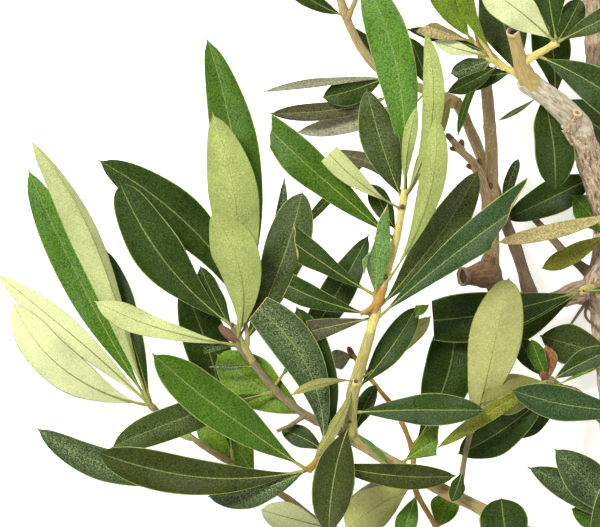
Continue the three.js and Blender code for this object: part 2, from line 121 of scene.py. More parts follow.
def newGroup(name, kind, inputs, outputs):
    tree = bpy.data.node_groups.new(name, kind)
    for label, (socketType, value) in inputs.items():
        socket = tree.interface.new_socket(label, in_out="INPUT", socket_type="NodeSocket" + socketType)
        if value is not None:
            socket.default_value = value
    for label, socketType in outputs.items():
        tree.interface.new_socket(label, in_out="OUTPUT", socket_type="NodeSocket" + socketType)
    return tree, tree.nodes.new("NodeGroupInput").outputs, tree.nodes.new("NodeGroupOutput").inputs


# Shader groups shared by the leaves and the bark

skinOutputs = {"Color": "Color", "Roughness": "Float", "Height": "Float"}
leafGrain = {    # scales per metre; edges are where a pattern starts and is full
    "cloudScale": 110, "cloudEdge": (0.3, 0.7), "cloudShade": 0.4,
    "grainScale": 2100, "fleckEdge": (0.44, 0.72), "fleckSpread": (0.0, 0.8, 1.5, 0.5),
    "pitScale": 1500, "pitSpread": (0.1, 0.75, 1.35, 0.55),
    "veinTurns": 88, "veinSlant": -0.09, "veinEdge": (0.86, 1.0),
    "cloudRoughness": 0.16, "grainHeight": 0.6, "cloudHeight": 0.8, "pitHeight": 0.5,
}
barkGrain = {
    "unroll": 60.0, "streakScale": 5, "streakRoughness": 0.65, "streakEdge": (0.38, 0.66),
    "patchScale": 260, "patchDark": 0.5, "lightShare": 0.22, "poreScale": 620, "poreEdge": (0.28, 0.16),
    "patchRoughness": 0.25, "smoothest": 0.62, "streakHeight": -0.7, "patchHeight": 0.8, "poreHeight": 0.4,
}


def buildLeafSkinGroup():
    tree, given, wanted = newGroup(
        "leafSkin", "ShaderNodeTree",
        {"Base": ("Color", (0.1, 0.2, 0.05, 1)), "Fleck": ("Color", (0.3, 0.35, 0.25, 1)),
         "Fleck Amount": ("Float", 0.3), "Mottle": ("Float", 0.3), "Grain": ("Float", 1.0),
         "Vein": ("Float", 0.2), "Dull": ("Float", 0.45)},
        skinOutputs)
    finish = leafGrain
    where = place(tree, "ShaderNodeTexCoord").outputs["Object"]
    clouds = noise(tree, where, finish["cloudScale"], 3)
    grains = noise(tree, where, finish["grainScale"], 2)
    flecks = remap(tree, grains, *finish["fleckEdge"])
    pits = remap(tree, cells(tree, where, finish["pitScale"]), *finish["pitSpread"])
    across = place(tree, "ShaderNodeAttribute", attribute_name="across").outputs["Fac"]
    along = place(tree, "ShaderNodeAttribute", attribute_name="along").outputs["Fac"]
    fromRib = calculate(tree, "ABSOLUTE", across)
    slant = calculate(tree, "MULTIPLY_ADD", fromRib, finish["veinSlant"], along)
    wave = calculate(tree, "SINE", product(tree, slant, finish["veinTurns"]))
    veins = product(tree, remap(tree, wave, *finish["veinEdge"]), given["Vein"])
    shade = remap(tree, clouds, *finish["cloudEdge"])
    darker = product(tree, calculate(tree, "SUBTRACT", 1.0, shade), given["Mottle"])
    dark = stretch(tree, given["Base"], finish["cloudShade"])
    mixed = mixColors(tree, darker, given["Base"], dark)
    grain = calculate(tree, "MULTIPLY_ADD", calculate(tree, "SUBTRACT", pits, 1.0), given["Grain"], 1.0)
    mixed = stretch(tree, mixed, grain)
    near = remap(tree, fromRib, *finish["fleckSpread"])
    flecked = mixColors(tree, product(tree, flecks, near, given["Fleck Amount"]), mixed, given["Fleck"])
    veined = mixColors(tree, veins, flecked, given["Fleck"])
    height = calculate(tree, "MULTIPLY_ADD", grains, finish["grainHeight"],
                       product(tree, clouds, finish["cloudHeight"]))
    height = calculate(tree, "MULTIPLY_ADD", pits, finish["pitHeight"], height)
    tree.links.new(veined, wanted["Color"])
    tree.links.new(calculate(tree, "MULTIPLY_ADD", clouds, finish["cloudRoughness"], given["Dull"]),
                   wanted["Roughness"])
    tree.links.new(calculate(tree, "SUBTRACT", height, veins), wanted["Height"])
    return tree


def buildBarkSkinGroup():
    tree, given, wanted = newGroup(
        "barkSkin", "ShaderNodeTree",
        {"Light": ("Color", (0.4, 0.3, 0.2, 1)), "Dark": ("Color", (0.12, 0.08, 0.06, 1)),
         "Pore": ("Color", (0.6, 0.5, 0.38, 1)), "Streak": ("Float", 0.6), "Pore Amount": ("Float", 0.6)},
        skinOutputs)
    finish = barkGrain
    where = place(tree, "ShaderNodeTexCoord").outputs["Object"]
    around = place(tree, "ShaderNodeAttribute", attribute_name="around").outputs["Vector"]
    along = place(tree, "ShaderNodeAttribute", attribute_name="limbLength").outputs["Fac"]
    streaks = noise(tree, unroll(tree, around, along), finish["streakScale"], 5,
                    Roughness=finish["streakRoughness"])
    streaks = remap(tree, streaks, *finish["streakEdge"])
    patches = noise(tree, where, finish["patchScale"], 4)
    pores = remap(tree, cells(tree, where, finish["poreScale"]), *finish["poreEdge"])
    pores = product(tree, pores, given["Pore Amount"])
    darkPart = calculate(tree, "SUBTRACT", product(tree, streaks, given["Streak"]), finish["lightShare"])
    darkPart = calculate(tree, "MULTIPLY_ADD", patches, finish["patchDark"], darkPart)
    clamped = place(tree, "ShaderNodeClamp", {"Value": darkPart}).outputs[0]
    wood = mixColors(tree, clamped, given["Light"], given["Dark"])
    height = calculate(tree, "MULTIPLY_ADD", streaks, finish["streakHeight"],
                       product(tree, patches, finish["patchHeight"]))
    tree.links.new(mixColors(tree, pores, wood, given["Pore"]), wanted["Color"])
    tree.links.new(calculate(tree, "MULTIPLY_ADD", patches, finish["patchRoughness"], finish["smoothest"]),
                   wanted["Roughness"])
    tree.links.new(calculate(tree, "MULTIPLY_ADD", pores, finish["poreHeight"], height), wanted["Height"])
    return tree


leafSkin = buildLeafSkinGroup()
barkSkin = buildBarkSkinGroup()


def dressedMaterial(name, group, values, bumpStrength, bumpDistance, gloss=0.25):
    material = bpy.data.materials.new(name)
    material.use_nodes = True
    tree = material.node_tree
    shader = tree.nodes["Principled BSDF"]
    shader.inputs["Specular IOR Level"].default_value = gloss
    skin = place(tree, "ShaderNodeGroup", node_tree=group)
    for label, value in values.items():
        skin.inputs[label].default_value = (*value, 1) if isinstance(value, tuple) else value
    bump = place(tree, "ShaderNodeBump", {"Strength": bumpStrength, "Distance": bumpDistance,
                                          "Height": skin.outputs["Height"]})
    tree.links.new(skin.outputs["Color"], shader.inputs["Base Color"])
    tree.links.new(skin.outputs["Roughness"], shader.inputs["Roughness"])
    tree.links.new(bump.outputs["Normal"], shader.inputs["Normal"])
    return material


leafFinish = {    # base, fleck, fleck amount, mottle, vein, dullness
    "bump": 0.6, "bumpDepth": 0.0003, "gloss": {"upper": 0.10, "under": 0.05},
    "grain": {"upper": 1.0, "under": 0.35}, "plainBump": 0.2, "plainBumpDepth": 0.0001, "plainGrain": 0.6,
    "upper": {
        "deep": ((0.017, 0.038, 0.002), (0.060, 0.088, 0.020), 0.55, 0.45, 0.05, 0.36),
        "dusk": ((0.024, 0.034, 0.002), (0.075, 0.080, 0.022), 0.55, 0.45, 0.05, 0.44),
        "grass": ((0.036, 0.088, 0.003), (0.100, 0.175, 0.025), 0.45, 0.50, 0.05, 0.34),
        "bright": ((0.050, 0.130, 0.006), (0.150, 0.260, 0.045), 0.40, 0.45, 0.05, 0.32),
        "silver": ((0.026, 0.050, 0.010), (0.180, 0.225, 0.105), 0.75, 0.55, 0.05, 0.42),
        "olive": ((0.030, 0.048, 0.006), (0.110, 0.135, 0.045), 0.60, 0.45, 0.05, 0.42),
        "blue": ((0.018, 0.044, 0.008), (0.090, 0.140, 0.055), 0.50, 0.40, 0.05, 0.38),
        "mist": ((0.085, 0.175, 0.035), (0.190, 0.300, 0.100), 0.60, 0.40, 0.05, 0.42),
        "lime": ((0.110, 0.180, 0.008), (0.260, 0.340, 0.045), 0.40, 0.35, 0.08, 0.40),
        "lit": ((0.080, 0.150, 0.006), (0.190, 0.280, 0.040), 0.40, 0.40, 0.06, 0.40),
        "ash": ((0.190, 0.185, 0.120), (0.300, 0.290, 0.210), 0.40, 0.20, 0.05, 0.55),
        "brown": ((0.052, 0.050, 0.020), (0.150, 0.135, 0.070), 0.55, 0.45, 0.05, 0.50),
        "fade": ((0.120, 0.165, 0.012), (0.260, 0.140, 0.030), 0.60, 0.30, 0.10, 0.50),
        "rust": ((0.190, 0.075, 0.030), (0.300, 0.140, 0.060), 0.50, 0.40, 0.10, 0.50),
        "tan": ((0.330, 0.270, 0.110), (0.365, 0.290, 0.140), 0.40, 0.10, 0.10, 0.50),
    },
    "under": {
        "sage": ((0.235, 0.280, 0.072), (0.380, 0.410, 0.160), 0.60, 0.45, 0.12, 0.62),
        "pale": ((0.335, 0.368, 0.148), (0.450, 0.480, 0.240), 0.55, 0.35, 0.10, 0.62),
        "cream": ((0.440, 0.470, 0.230), (0.520, 0.545, 0.310), 0.50, 0.20, 0.08, 0.64),
        "straw": ((0.215, 0.215, 0.062), (0.350, 0.325, 0.125), 0.50, 0.45, 0.12, 0.62),
        "flax": ((0.270, 0.275, 0.090), (0.400, 0.390, 0.170), 0.40, 0.35, 0.12, 0.62),
        # an olive-tan underside colour darkened with painted shade, for a leaf lying in shadow
        "shadedKhaki": ((0.180, 0.175, 0.045), (0.280, 0.260, 0.090), 0.40, 0.45, 0.12, 0.62),
    },
    "plain": {
        "rim": ((0.20, 0.25, 0.06), (0.34, 0.38, 0.12), 0.3, 0.2, 0.0, 0.5),
        "midrib": ((0.085, 0.125, 0.025), (0.19, 0.22, 0.07), 0.5, 0.2, 0.0, 0.5),
        "rib": ((0.200, 0.220, 0.045), (0.340, 0.320, 0.090), 0.3, 0.15, 0.0, 0.5),
        "dry": ((0.46, 0.32, 0.12), (0.62, 0.48, 0.24), 0.4, 0.40, 0.0, 0.7),
    },
}
tones = {    # each tone's finish on the upper side and on the underside
    "deep": ("deep", "sage"), "grass": ("grass", "sage"), "bright": ("bright", "sage"),
    "silver": ("silver", "sage"), "olive": ("olive", "straw"), "blue": ("blue", "sage"),
    "mist": ("mist", "sage"), "lime": ("lime", "cream"), "lit": ("lit", "sage"), "brown": ("brown", "straw"),
    "dusk": ("dusk", "straw"), "fade": ("fade", "straw"), "rust": ("rust", "straw"), "tan": ("tan", "straw"),
    "ash": ("ash", "straw"), "sage": ("grass", "sage"), "cream": ("grass", "cream"),
    "pale": ("grass", "pale"), "straw": ("olive", "straw"), "flax": ("grass", "flax"),
    "shadedKhaki": ("olive", "shadedKhaki"),
}
toneNames = list(tones)


def leafMaterials():
    made = {}
    labels = ("Base", "Fleck", "Fleck Amount", "Mottle", "Vein", "Dull")
    for side in ("upper", "under"):
        for name, numbers in leafFinish[side].items():
            values = {**dict(zip(labels, numbers)), "Grain": leafFinish["grain"][side]}
            made[side, name] = dressedMaterial(side + "Leaf" + name.capitalize(), leafSkin, values,
                                               leafFinish["bump"], leafFinish["bumpDepth"],
                                               leafFinish["gloss"][side])
    for name, numbers in leafFinish["plain"].items():
        values = {**dict(zip(labels, numbers)), "Grain": leafFinish["plainGrain"]}
        made[name] = dressedMaterial("leaf" + name.capitalize(), leafSkin, values,
                                     leafFinish["plainBump"], leafFinish["plainBumpDepth"])
    return made


leafLook = leafMaterials()

barkBump = 0.0004    # metres
barkFinish = {    # light, dark, pore, streak, pore amount, bump strength
    "limbBark": ((0.490, 0.370, 0.255), (0.130, 0.070, 0.036), (0.50, 0.40, 0.28), 0.95, 0.40, 1.0),
    "paleBark": ((0.560, 0.500, 0.360), (0.190, 0.140, 0.080), (0.50, 0.44, 0.32), 0.85, 0.25, 0.9),
    "fleckedBark": ((0.500, 0.400, 0.260), (0.095, 0.036, 0.012), (0.60, 0.50, 0.36), 1.00, 0.80, 1.0),
    "stubBark": ((0.400, 0.310, 0.110), (0.210, 0.130, 0.040), (0.46, 0.38, 0.20), 0.60, 0.40, 0.6),
    "rustBark": ((0.200, 0.120, 0.060), (0.060, 0.026, 0.012), (0.30, 0.14, 0.06), 0.85, 0.50, 1.0),
    "darkTwig": ((0.200, 0.140, 0.080), (0.070, 0.040, 0.020), (0.28, 0.20, 0.13), 0.70, 0.40, 0.8),
    "tanBark": ((0.350, 0.275, 0.115), (0.150, 0.095, 0.035), (0.34, 0.19, 0.07), 0.70, 0.40, 0.7),
    "boughBark": ((0.230, 0.185, 0.075), (0.075, 0.052, 0.018), (0.36, 0.30, 0.15), 0.70, 0.60, 0.9),
    "stemBark": ((0.300, 0.220, 0.100), (0.115, 0.072, 0.030), (0.42, 0.34, 0.19), 0.55, 0.70, 0.8),
    "buddedBark": ((0.430, 0.300, 0.160), (0.090, 0.045, 0.020), (0.42, 0.30, 0.19), 0.75, 0.50, 0.9),
    "orangeTwig": ((0.330, 0.185, 0.035), (0.150, 0.080, 0.018), (0.42, 0.28, 0.10), 0.50, 0.50, 0.6),
    "yellowTwig": ((0.560, 0.490, 0.150), (0.240, 0.150, 0.025), (0.36, 0.20, 0.04), 0.38, 0.45, 0.7),
    "oliveTwig": ((0.230, 0.185, 0.090), (0.075, 0.060, 0.024), (0.34, 0.26, 0.14), 0.75, 0.50, 0.8),
    "greenTwig": ((0.350, 0.320, 0.100), (0.130, 0.100, 0.028), (0.40, 0.34, 0.14), 0.60, 0.45, 0.7),
    "redBud": ((0.130, 0.050, 0.022), (0.040, 0.016, 0.010), (0.24, 0.12, 0.06), 0.60, 0.30, 0.8),
    "cutRim": ((0.420, 0.340, 0.190), (0.230, 0.160, 0.080), (0.46, 0.38, 0.24), 0.30, 0.30, 0.5),
    "cutWood": ((0.230, 0.140, 0.065), (0.090, 0.048, 0.024), (0.30, 0.21, 0.11), 0.50, 0.30, 0.6),
    # the dark pith of the sawn end, and painted shade in the mouths of the hollow stubs
    "pithAndHoleShade": ((0.030, 0.018, 0.012), (0.010, 0.007, 0.005), (0.07, 0.04, 0.022), 0.60, 0.30, 0.8),
}


def barkMaterials():
    made = {}
    for name, (*numbers, bump) in barkFinish.items():
        values = dict(zip(("Light", "Dark", "Pore", "Streak", "Pore Amount"), numbers))
        made[name] = dressedMaterial(name, barkSkin, values, bump, barkBump)
    return made


barkLook = barkMaterials()
print("materials made:", len(leafLook) + len(barkLook))


# Paths: the same rule as the model's source, in millimetres until the mesh is made

slopeStep = 0.01    # share of a line on each side of the spot where its heading is taken


def seededRandom(seed):
    state = seed * 7919 + 13
    while True:
        state = state * 16807 % 2147483647
        yield state / 2147483647


def unit(vector):
    return vector / np.linalg.norm(vector)


def headed(degrees, rise=0):    # a direction in plan, with its rise
    angle = math.radians(degrees)
    return np.array((math.cos(angle), math.sin(angle), rise))


class Path:
    def __init__(self, points, samples=160):
        corners = [np.array(point, float) for point in points]
        corners = [2 * corners[0] - corners[1], *corners, 2 * corners[-1] - corners[-2]]
        spans = len(corners) - 3
        dots = []
        shares = []
        for step in range(samples + 1):
            spot = step / samples * spans
            index = min(int(spot), spans - 1)
            t = spot - index
            a, b, c, d = corners[index:index + 4]
            dots.append(0.5 * (2 * b + (c - a) * t + (2 * a - 5 * b + 4 * c - d) * t * t
                               + (3 * b - a - 3 * c + d) * t ** 3))
            shares.append(spot / spans)
        self.dots = np.array(dots)
        self.shares = np.array(shares)
        steps = np.linalg.norm(np.diff(self.dots, axis=0), axis=1)
        self.lengths = np.concatenate([[0], np.cumsum(steps)])
        self.length = self.lengths[-1]

    def at(self, fraction):
        wanted = fraction * self.length
        return np.array([np.interp(wanted, self.lengths, self.dots[:, axis]) for axis in range(3)])

    def value(self, fraction, values):    # values are spread evenly over the path's corners
        share = np.interp(fraction * self.length, self.lengths, self.shares)
        return float(np.interp(share, np.linspace(0, 1, len(values)), values))

    def heading(self, fraction):
        return unit(self.at(min(1, fraction + slopeStep)) - self.at(max(0, fraction - slopeStep)))


# Leaves: each is a midrib line with the values that its tree reads there

def leaf(at, aim, reach, wide, rise, tone, **extras):    # share of the stem, degrees, then millimetres
    return {"at": at, "aim": aim, "reach": reach, "wide": wide, "rise": rise, "tone": tone, **extras}


pairShape = {"shrink": 0.25, "crossedSpread": 0.4, "crossedRise": 1.6}


def leafPairs(pairs, start, end, reach, wide, heading, spread, tilt, pairTones):
    shape = pairShape
    leaves = []
    for pair in range(pairs):
        at = start + (end - start) * pair / max(1, pairs - 1)
        crossed = pair % 2 == 1    # every other pair stands across the last one
        size = 1 - shape["shrink"] * (pair / pairs)
        for hand in (-1, 1):
            aim = heading + hand * (spread * shape["crossedSpread"] if crossed else spread)
            rise = reach * tilt * (1 + shape["crossedRise"] * hand) if crossed else reach * tilt
            tone = pairTones[len(leaves) % len(pairTones)]
            leaves.append(leaf(at, aim, reach * size, wide, rise * size, tone))
    return leaves


leafDefaults = {
    "cut": 1, "slant": 0, "skew": 1, "widestAt": 0.6, "taper": 1.1, "blunt": 0.55, "wave": 0.10,
    "twist": 9, "tipTwist": 0, "foldLeft": 9, "foldRight": 9,
}
leafShape = {    # radii in millimetres; the section's sizes in half widths
    "petioleLength": 0.06, "unevenness": 0.035, "unevenTurns": 11, "archPart": 0.06, "leastArch": 0.4,
    "swayPart": 0.05, "rollDegrees": 14, "stations": 30, "tipCrowding": 1.7, "thinnest": 0.12,
    "ripple": 0.012, "rippleTurns": 9, "twistTurns": 2.5, "wobble": 2, "wobbleTurns": 31, "phaseSpread": 40,
    "fold": 0.10, "edgeCurl": 0.10, "thick": 0.05, "edgeThick": 0.014, "groove": 0.025,
    "pointFrom": 0.972, "pointHalf": 0.5, "rimFrom": 0.955, "midribHalf": 0.03,
    "sectionStops": (0.3, 0.55, 0.8),
    "ribAt": (0, 0.07, 0.16, 0.9, 1), "ribRadii": (0.775, 0.62, 0.338, 0.11, 0.066),
    "slimRib": 0.5, "slimWidth": 20,
    "edgeTurns": 17.0, "edgeLag": 1.1, "jagTurns": 6.0, "jag": 0.1, "endPower": 6.0,
}
leafValues = {"Rib Sides": 6, "Rib Drop": 0.55, "Rim Limit": 0.75}


def halfWidthAt(entry, fraction):
    shape = leafShape
    petiole = shape["petioleLength"]
    blade = min(1, max(0, (fraction * entry["cut"] - petiole) / (1 - petiole)))
    peak = entry["widestAt"]
    if blade < peak:
        outline = math.sin(math.pi / 2 * blade / peak) ** entry["taper"]
    else:
        beyond = min(1, (blade - peak) / (shape["pointFrom"] - peak))
        outline = max(0, math.cos(math.pi / 2 * beyond)) ** entry["blunt"]
    uneven = 1 + shape["unevenness"] * math.sin(shape["unevenTurns"] * blade + entry["aim"])
    point = shape["pointHalf"] * (1 - blade) / (1 - shape["pointFrom"]) if blade > shape["pointFrom"] else 0
    return max(entry["wide"] / 2 * outline * uneven, point)


def leafStations(path, entry, random):
    shape = leafShape
    arch = entry["reach"] * shape["archPart"] * (shape["leastArch"] + next(random))
    sway = entry["reach"] * shape["swayPart"] * (2 * next(random) - 1)
    roll = shape["rollDegrees"] * (2 * next(random) - 1) + (180 if entry.get("under") else 0)
    full = {"arch": arch, "sway": sway, "roll": roll, **leafDefaults, **entry}
    base = np.array(full["base"], float) if "base" in full else path.at(full["at"])
    ahead = headed(full["aim"])
    aside = np.array((-ahead[1], ahead[0], 0))
    up = np.array((0, 0, 1))
    wobble = math.sin(full["at"] * shape["wobbleTurns"] + full["aim"]) * shape["wobble"]

    def where(t):
        late = t ** full["skew"]
        hump = 4 * late * (1 - late)
        return (base + ahead * full["reach"] * t + aside * full["sway"] * hump
                + up * (full["rise"] * t + full["arch"] * hump))

    stations = []
    count = shape["stations"]
    for index in range(count + 1):
        t = 1 - (1 - index / count) ** shape["tipCrowding"]
        tangent = unit(where(t + slopeStep) - where(t - slopeStep))
        flat = unit(np.cross(tangent, up))
        over = np.cross(flat, tangent)
        twist = full["twist"] * math.sin(wobble + shape["twistTurns"] * t) * t
        turn = math.radians(full["roll"] + twist + full["tipTwist"] * t * t)
        face = over * math.cos(turn) - flat * math.sin(turn)
        ripple = face * full["reach"] * shape["ripple"] * math.sin(shape["rippleTurns"] * t + wobble)
        slim = min(1, shape["slimRib"] + full["wide"] / shape["slimWidth"])
        rib = np.interp(t * full["cut"], shape["ribAt"], shape["ribRadii"]) * slim
        stations.append({
            "face": face, "ahead": tangent, "centre": where(t) + ripple * t * (1 - t) * 4,
            "halfWidth": max(shape["thinnest"], halfWidthAt(full, t)) * millimetre,
            "ribRadius": rib * millimetre, "along": t,
            "dry": 1.0 if full["cut"] < 1 and index >= count - 1 else 0.0,    # a cut end is dry
            "tone": toneNames.index(full["tone"]), "phase": wobble * shape["phaseSpread"],
            "foldLeft": math.radians(full["foldLeft"]), "foldRight": math.radians(full["foldRight"]),
            "slant": full["slant"], "wave": full["wave"]})
    return stations


def addObject(name, mesh):
    made = bpy.data.objects.new(name, mesh)
    bpy.context.scene.collection.objects.link(made)
    return made


def inMetres(spot):
    return (Vector(spot) + originShift) * millimetre


def linesMesh(name, lines, attributes):    # polylines with values on their points, as an object
    vertices = []
    edges = []
    for line in lines:
        first = len(vertices)
        vertices += [tuple(inMetres(point)) for point in line]
        edges += [(first + index, first + index + 1) for index in range(len(line) - 1)]
    mesh = bpy.data.meshes.new(name)
    mesh.from_pydata(vertices, edges, [])
    for label, values in attributes.items():
        if label == "centre":
            values = [(np.array(value) + originShift) * millimetre for value in values]
        isVector = np.ndim(values[0]) > 0
        layer = mesh.attributes.new(label, "FLOAT_VECTOR" if isVector else "FLOAT", "POINT")
        layer.data.foreach_set("vector" if isVector else "value", np.array(values, float).ravel())
    return addObject(name, mesh)


def namedField(tree, name, kind="FLOAT"):
    return place(tree, "GeometryNodeInputNamedAttribute", {"Name": name}, data_type=kind).outputs["Attribute"]


def keepField(tree, geometry, name, value, kind="FLOAT"):
    inputs = {"Geometry": geometry, "Name": name, "Value": value}
    return place(tree, "GeometryNodeStoreNamedAttribute", inputs, domain="POINT", data_type=kind).outputs[0]


def compare(tree, operation, first, second):
    inputs = {"A": first, "B": second}
    item = place(tree, "FunctionNodeCompare", inputs, data_type="FLOAT", operation=operation)
    if operation == "EQUAL":
        item.inputs["Epsilon"].default_value = 0.3
    return item.outputs["Result"]


def both(tree, first, second):
    return place(tree, "FunctionNodeBooleanMath", {0: first, 1: second}, operation="AND").outputs[0]


def paint(tree, geometry, material, selection=True):
    inputs = {"Geometry": geometry, "Selection": selection, "Material": material}
    return place(tree, "GeometryNodeSetMaterial", inputs).outputs[0]


def shift(tree, geometry, offset):
    return place(tree, "GeometryNodeSetPosition", {"Geometry": geometry, "Offset": offset}).outputs[0]


def sweep(tree, lines, section, size):
    inputs = {"Curve": lines, "Profile Curve": section, "Scale": size, "Fill Caps": True}
    return place(tree, "GeometryNodeCurveToMesh", inputs).outputs["Mesh"]


def asCurve(tree, mesh):
    return place(tree, "GeometryNodeMeshToCurve", {"Mesh": mesh}).outputs["Curve"]


def ringCurve(tree, sides):
    inputs = {"Resolution": sides, "Radius": 1.0}
    return place(tree, "GeometryNodeCurvePrimitiveCircle", inputs).outputs["Curve"]


def joinSmoothly(tree, *parts):
    joined = place(tree, "GeometryNodeJoinGeometry")
    for part in parts:
        tree.links.new(part, joined.inputs[0])
    return place(tree, "GeometryNodeSetShadeSmooth", {"Geometry": joined.outputs[0]}).outputs[0]


def makeLeafSection():    # a blade's closed section, one unit from the midrib to the rim
    shape = leafShape
    stops = [shape["midribHalf"], *shape["sectionStops"], shape["rimFrom"]]
    acrossStops = [-stop for stop in reversed(stops)] + stops

    def level(x):
        dip = shape["groove"] if abs(x) <= shape["midribHalf"] else 0
        return shape["fold"] * abs(x) - shape["edgeCurl"] * abs(x) ** 3 - dip

    def thick(x):
        return shape["edgeThick"] + shape["thick"] * (1 - x * x)

    outline = [(-1, level(-1), 0)]
    outline += [(x, level(x) + thick(x) / 2, 1) for x in acrossStops]
    outline += [(1, level(1), 0)]
    outline += [(x, level(x) - thick(x) / 2 + (shape["groove"] if abs(x) <= shape["midribHalf"] else 0), -1)
                for x in reversed(acrossStops)]
    mesh = bpy.data.meshes.new("leafSection")
    count = len(outline)
    mesh.from_pydata([(height, -x, 0) for x, height, side in outline],
                     [(index, (index + 1) % count) for index in range(count)], [])
    for label, part in (("across", 0), ("side", 2)):
        layer = mesh.attributes.new(label, "FLOAT", "POINT")
        layer.data.foreach_set("value", [corner[part] for corner in outline])
    return addObject("leafSection", mesh)


def buildLeafTree():
    tree, given, wanted = newGroup(
        "leafBlades", "GeometryNodeTree",
        {"Midribs": ("Geometry", None), "Section": ("Object", None), "Rib Sides": ("Int", 6),
         "Rib Drop": ("Float", 0.55), "Rim Limit": ("Float", 0.75)},
        {"Leaves": "Geometry"})
    finish = leafShape
    face = namedField(tree, "face", "FLOAT_VECTOR")
    lines = {"Curve": asCurve(tree, given["Midribs"]), "Normal": face}
    lines = place(tree, "GeometryNodeSetCurveNormal", lines, mode="FREE").outputs[0]
    section = place(tree, "GeometryNodeObjectInfo", {"Object": given["Section"]}).outputs["Geometry"]
    halfWidth = namedField(tree, "halfWidth")
    blades = sweep(tree, lines, asCurve(tree, section), halfWidth)

    # Each half blade turns about the midrib
    across = namedField(tree, "across")
    fromRib = calculate(tree, "ABSOLUTE", across)
    position = place(tree, "GeometryNodeInputPosition").outputs[0]
    spoke = combine(tree, "SUBTRACT", position, namedField(tree, "centre", "FLOAT_VECTOR"))
    upright = stretch(tree, face, combine(tree, "DOT_PRODUCT", spoke, face))
    sideways = combine(tree, "SUBTRACT", spoke, upright)
    angle = place(tree, "GeometryNodeSwitch",
                  {"Switch": compare(tree, "LESS_THAN", across, 0.0), "False": namedField(tree, "foldRight"),
                   "True": namedField(tree, "foldLeft")}, input_type="FLOAT").outputs[0]
    size = product(tree, fromRib, halfWidth)
    drawn = stretch(tree, sideways, calculate(tree, "SUBTRACT", calculate(tree, "COSINE", angle), 1.0))
    rise = product(tree, size, calculate(tree, "SINE", angle))

    # The edges wave, and a cut end runs slantwise
    phase = namedField(tree, "phase")
    along = namedField(tree, "along")
    ripple = calculate(tree, "MULTIPLY_ADD", along, finish["edgeTurns"],
                       calculate(tree, "MULTIPLY_ADD", across, finish["edgeLag"], phase))
    ripple = product(tree, calculate(tree, "SINE", ripple), namedField(tree, "wave"),
                     product(tree, size, fromRib))
    raised = stretch(tree, face, calculate(tree, "ADD", rise, ripple))
    slant = namedField(tree, "slant")
    jag = calculate(tree, "SINE", calculate(tree, "MULTIPLY_ADD", across, finish["jagTurns"], phase))
    jag = product(tree, jag, finish["jag"], calculate(tree, "ABSOLUTE", slant))
    slanted = product(tree, calculate(tree, "MULTIPLY_ADD", slant, across, jag), halfWidth,
                      calculate(tree, "POWER", along, finish["endPower"]))
    pushed = stretch(tree, namedField(tree, "ahead", "FLOAT_VECTOR"), slanted)
    moved = combine(tree, "ADD", combine(tree, "ADD", drawn, raised), pushed)
    blades = keepField(tree, shift(tree, blades, moved), "isRib", 0.0)

    ribRadius = namedField(tree, "ribRadius")
    drop = product(tree, ribRadius, product(tree, given["Rib Drop"], -1.0))
    ribLines = shift(tree, lines, stretch(tree, face, drop))
    ribs = sweep(tree, ribLines, ringCurve(tree, given["Rib Sides"]), ribRadius)
    shape = joinSmoothly(tree, keepField(tree, ribs, "isRib", 1.0), blades)
    shape = place(tree, "GeometryNodeRealizeInstances", {"Geometry": shape}).outputs[0]

    tone = namedField(tree, "tone")
    side = namedField(tree, "side")
    isUpper = compare(tree, "GREATER_THAN", side, 0.0)
    isUnder = compare(tree, "LESS_THAN", side, 0.0)
    for index, (upperName, underName) in enumerate(tones.values()):
        isTone = compare(tree, "EQUAL", tone, float(index))
        shape = paint(tree, shape, leafLook["upper", upperName], both(tree, isTone, isUpper))
        shape = paint(tree, shape, leafLook["under", underName], both(tree, isTone, isUnder))
    onRim = compare(tree, "LESS_THAN", calculate(tree, "ABSOLUTE", side), given["Rim Limit"])
    onMidrib = both(tree, compare(tree, "LESS_THAN", fromRib, finish["midribHalf"]), isUpper)
    shape = paint(tree, shape, leafLook["rim"], onRim)
    shape = paint(tree, shape, leafLook["midrib"], onMidrib)
    for name, label in (("dry", "dry"), ("rib", "isRib")):
        isPart = compare(tree, "GREATER_THAN", namedField(tree, label), 0.5)
        shape = paint(tree, shape, leafLook[name], isPart)
    tree.links.new(shape, wanted["Leaves"])
    return tree


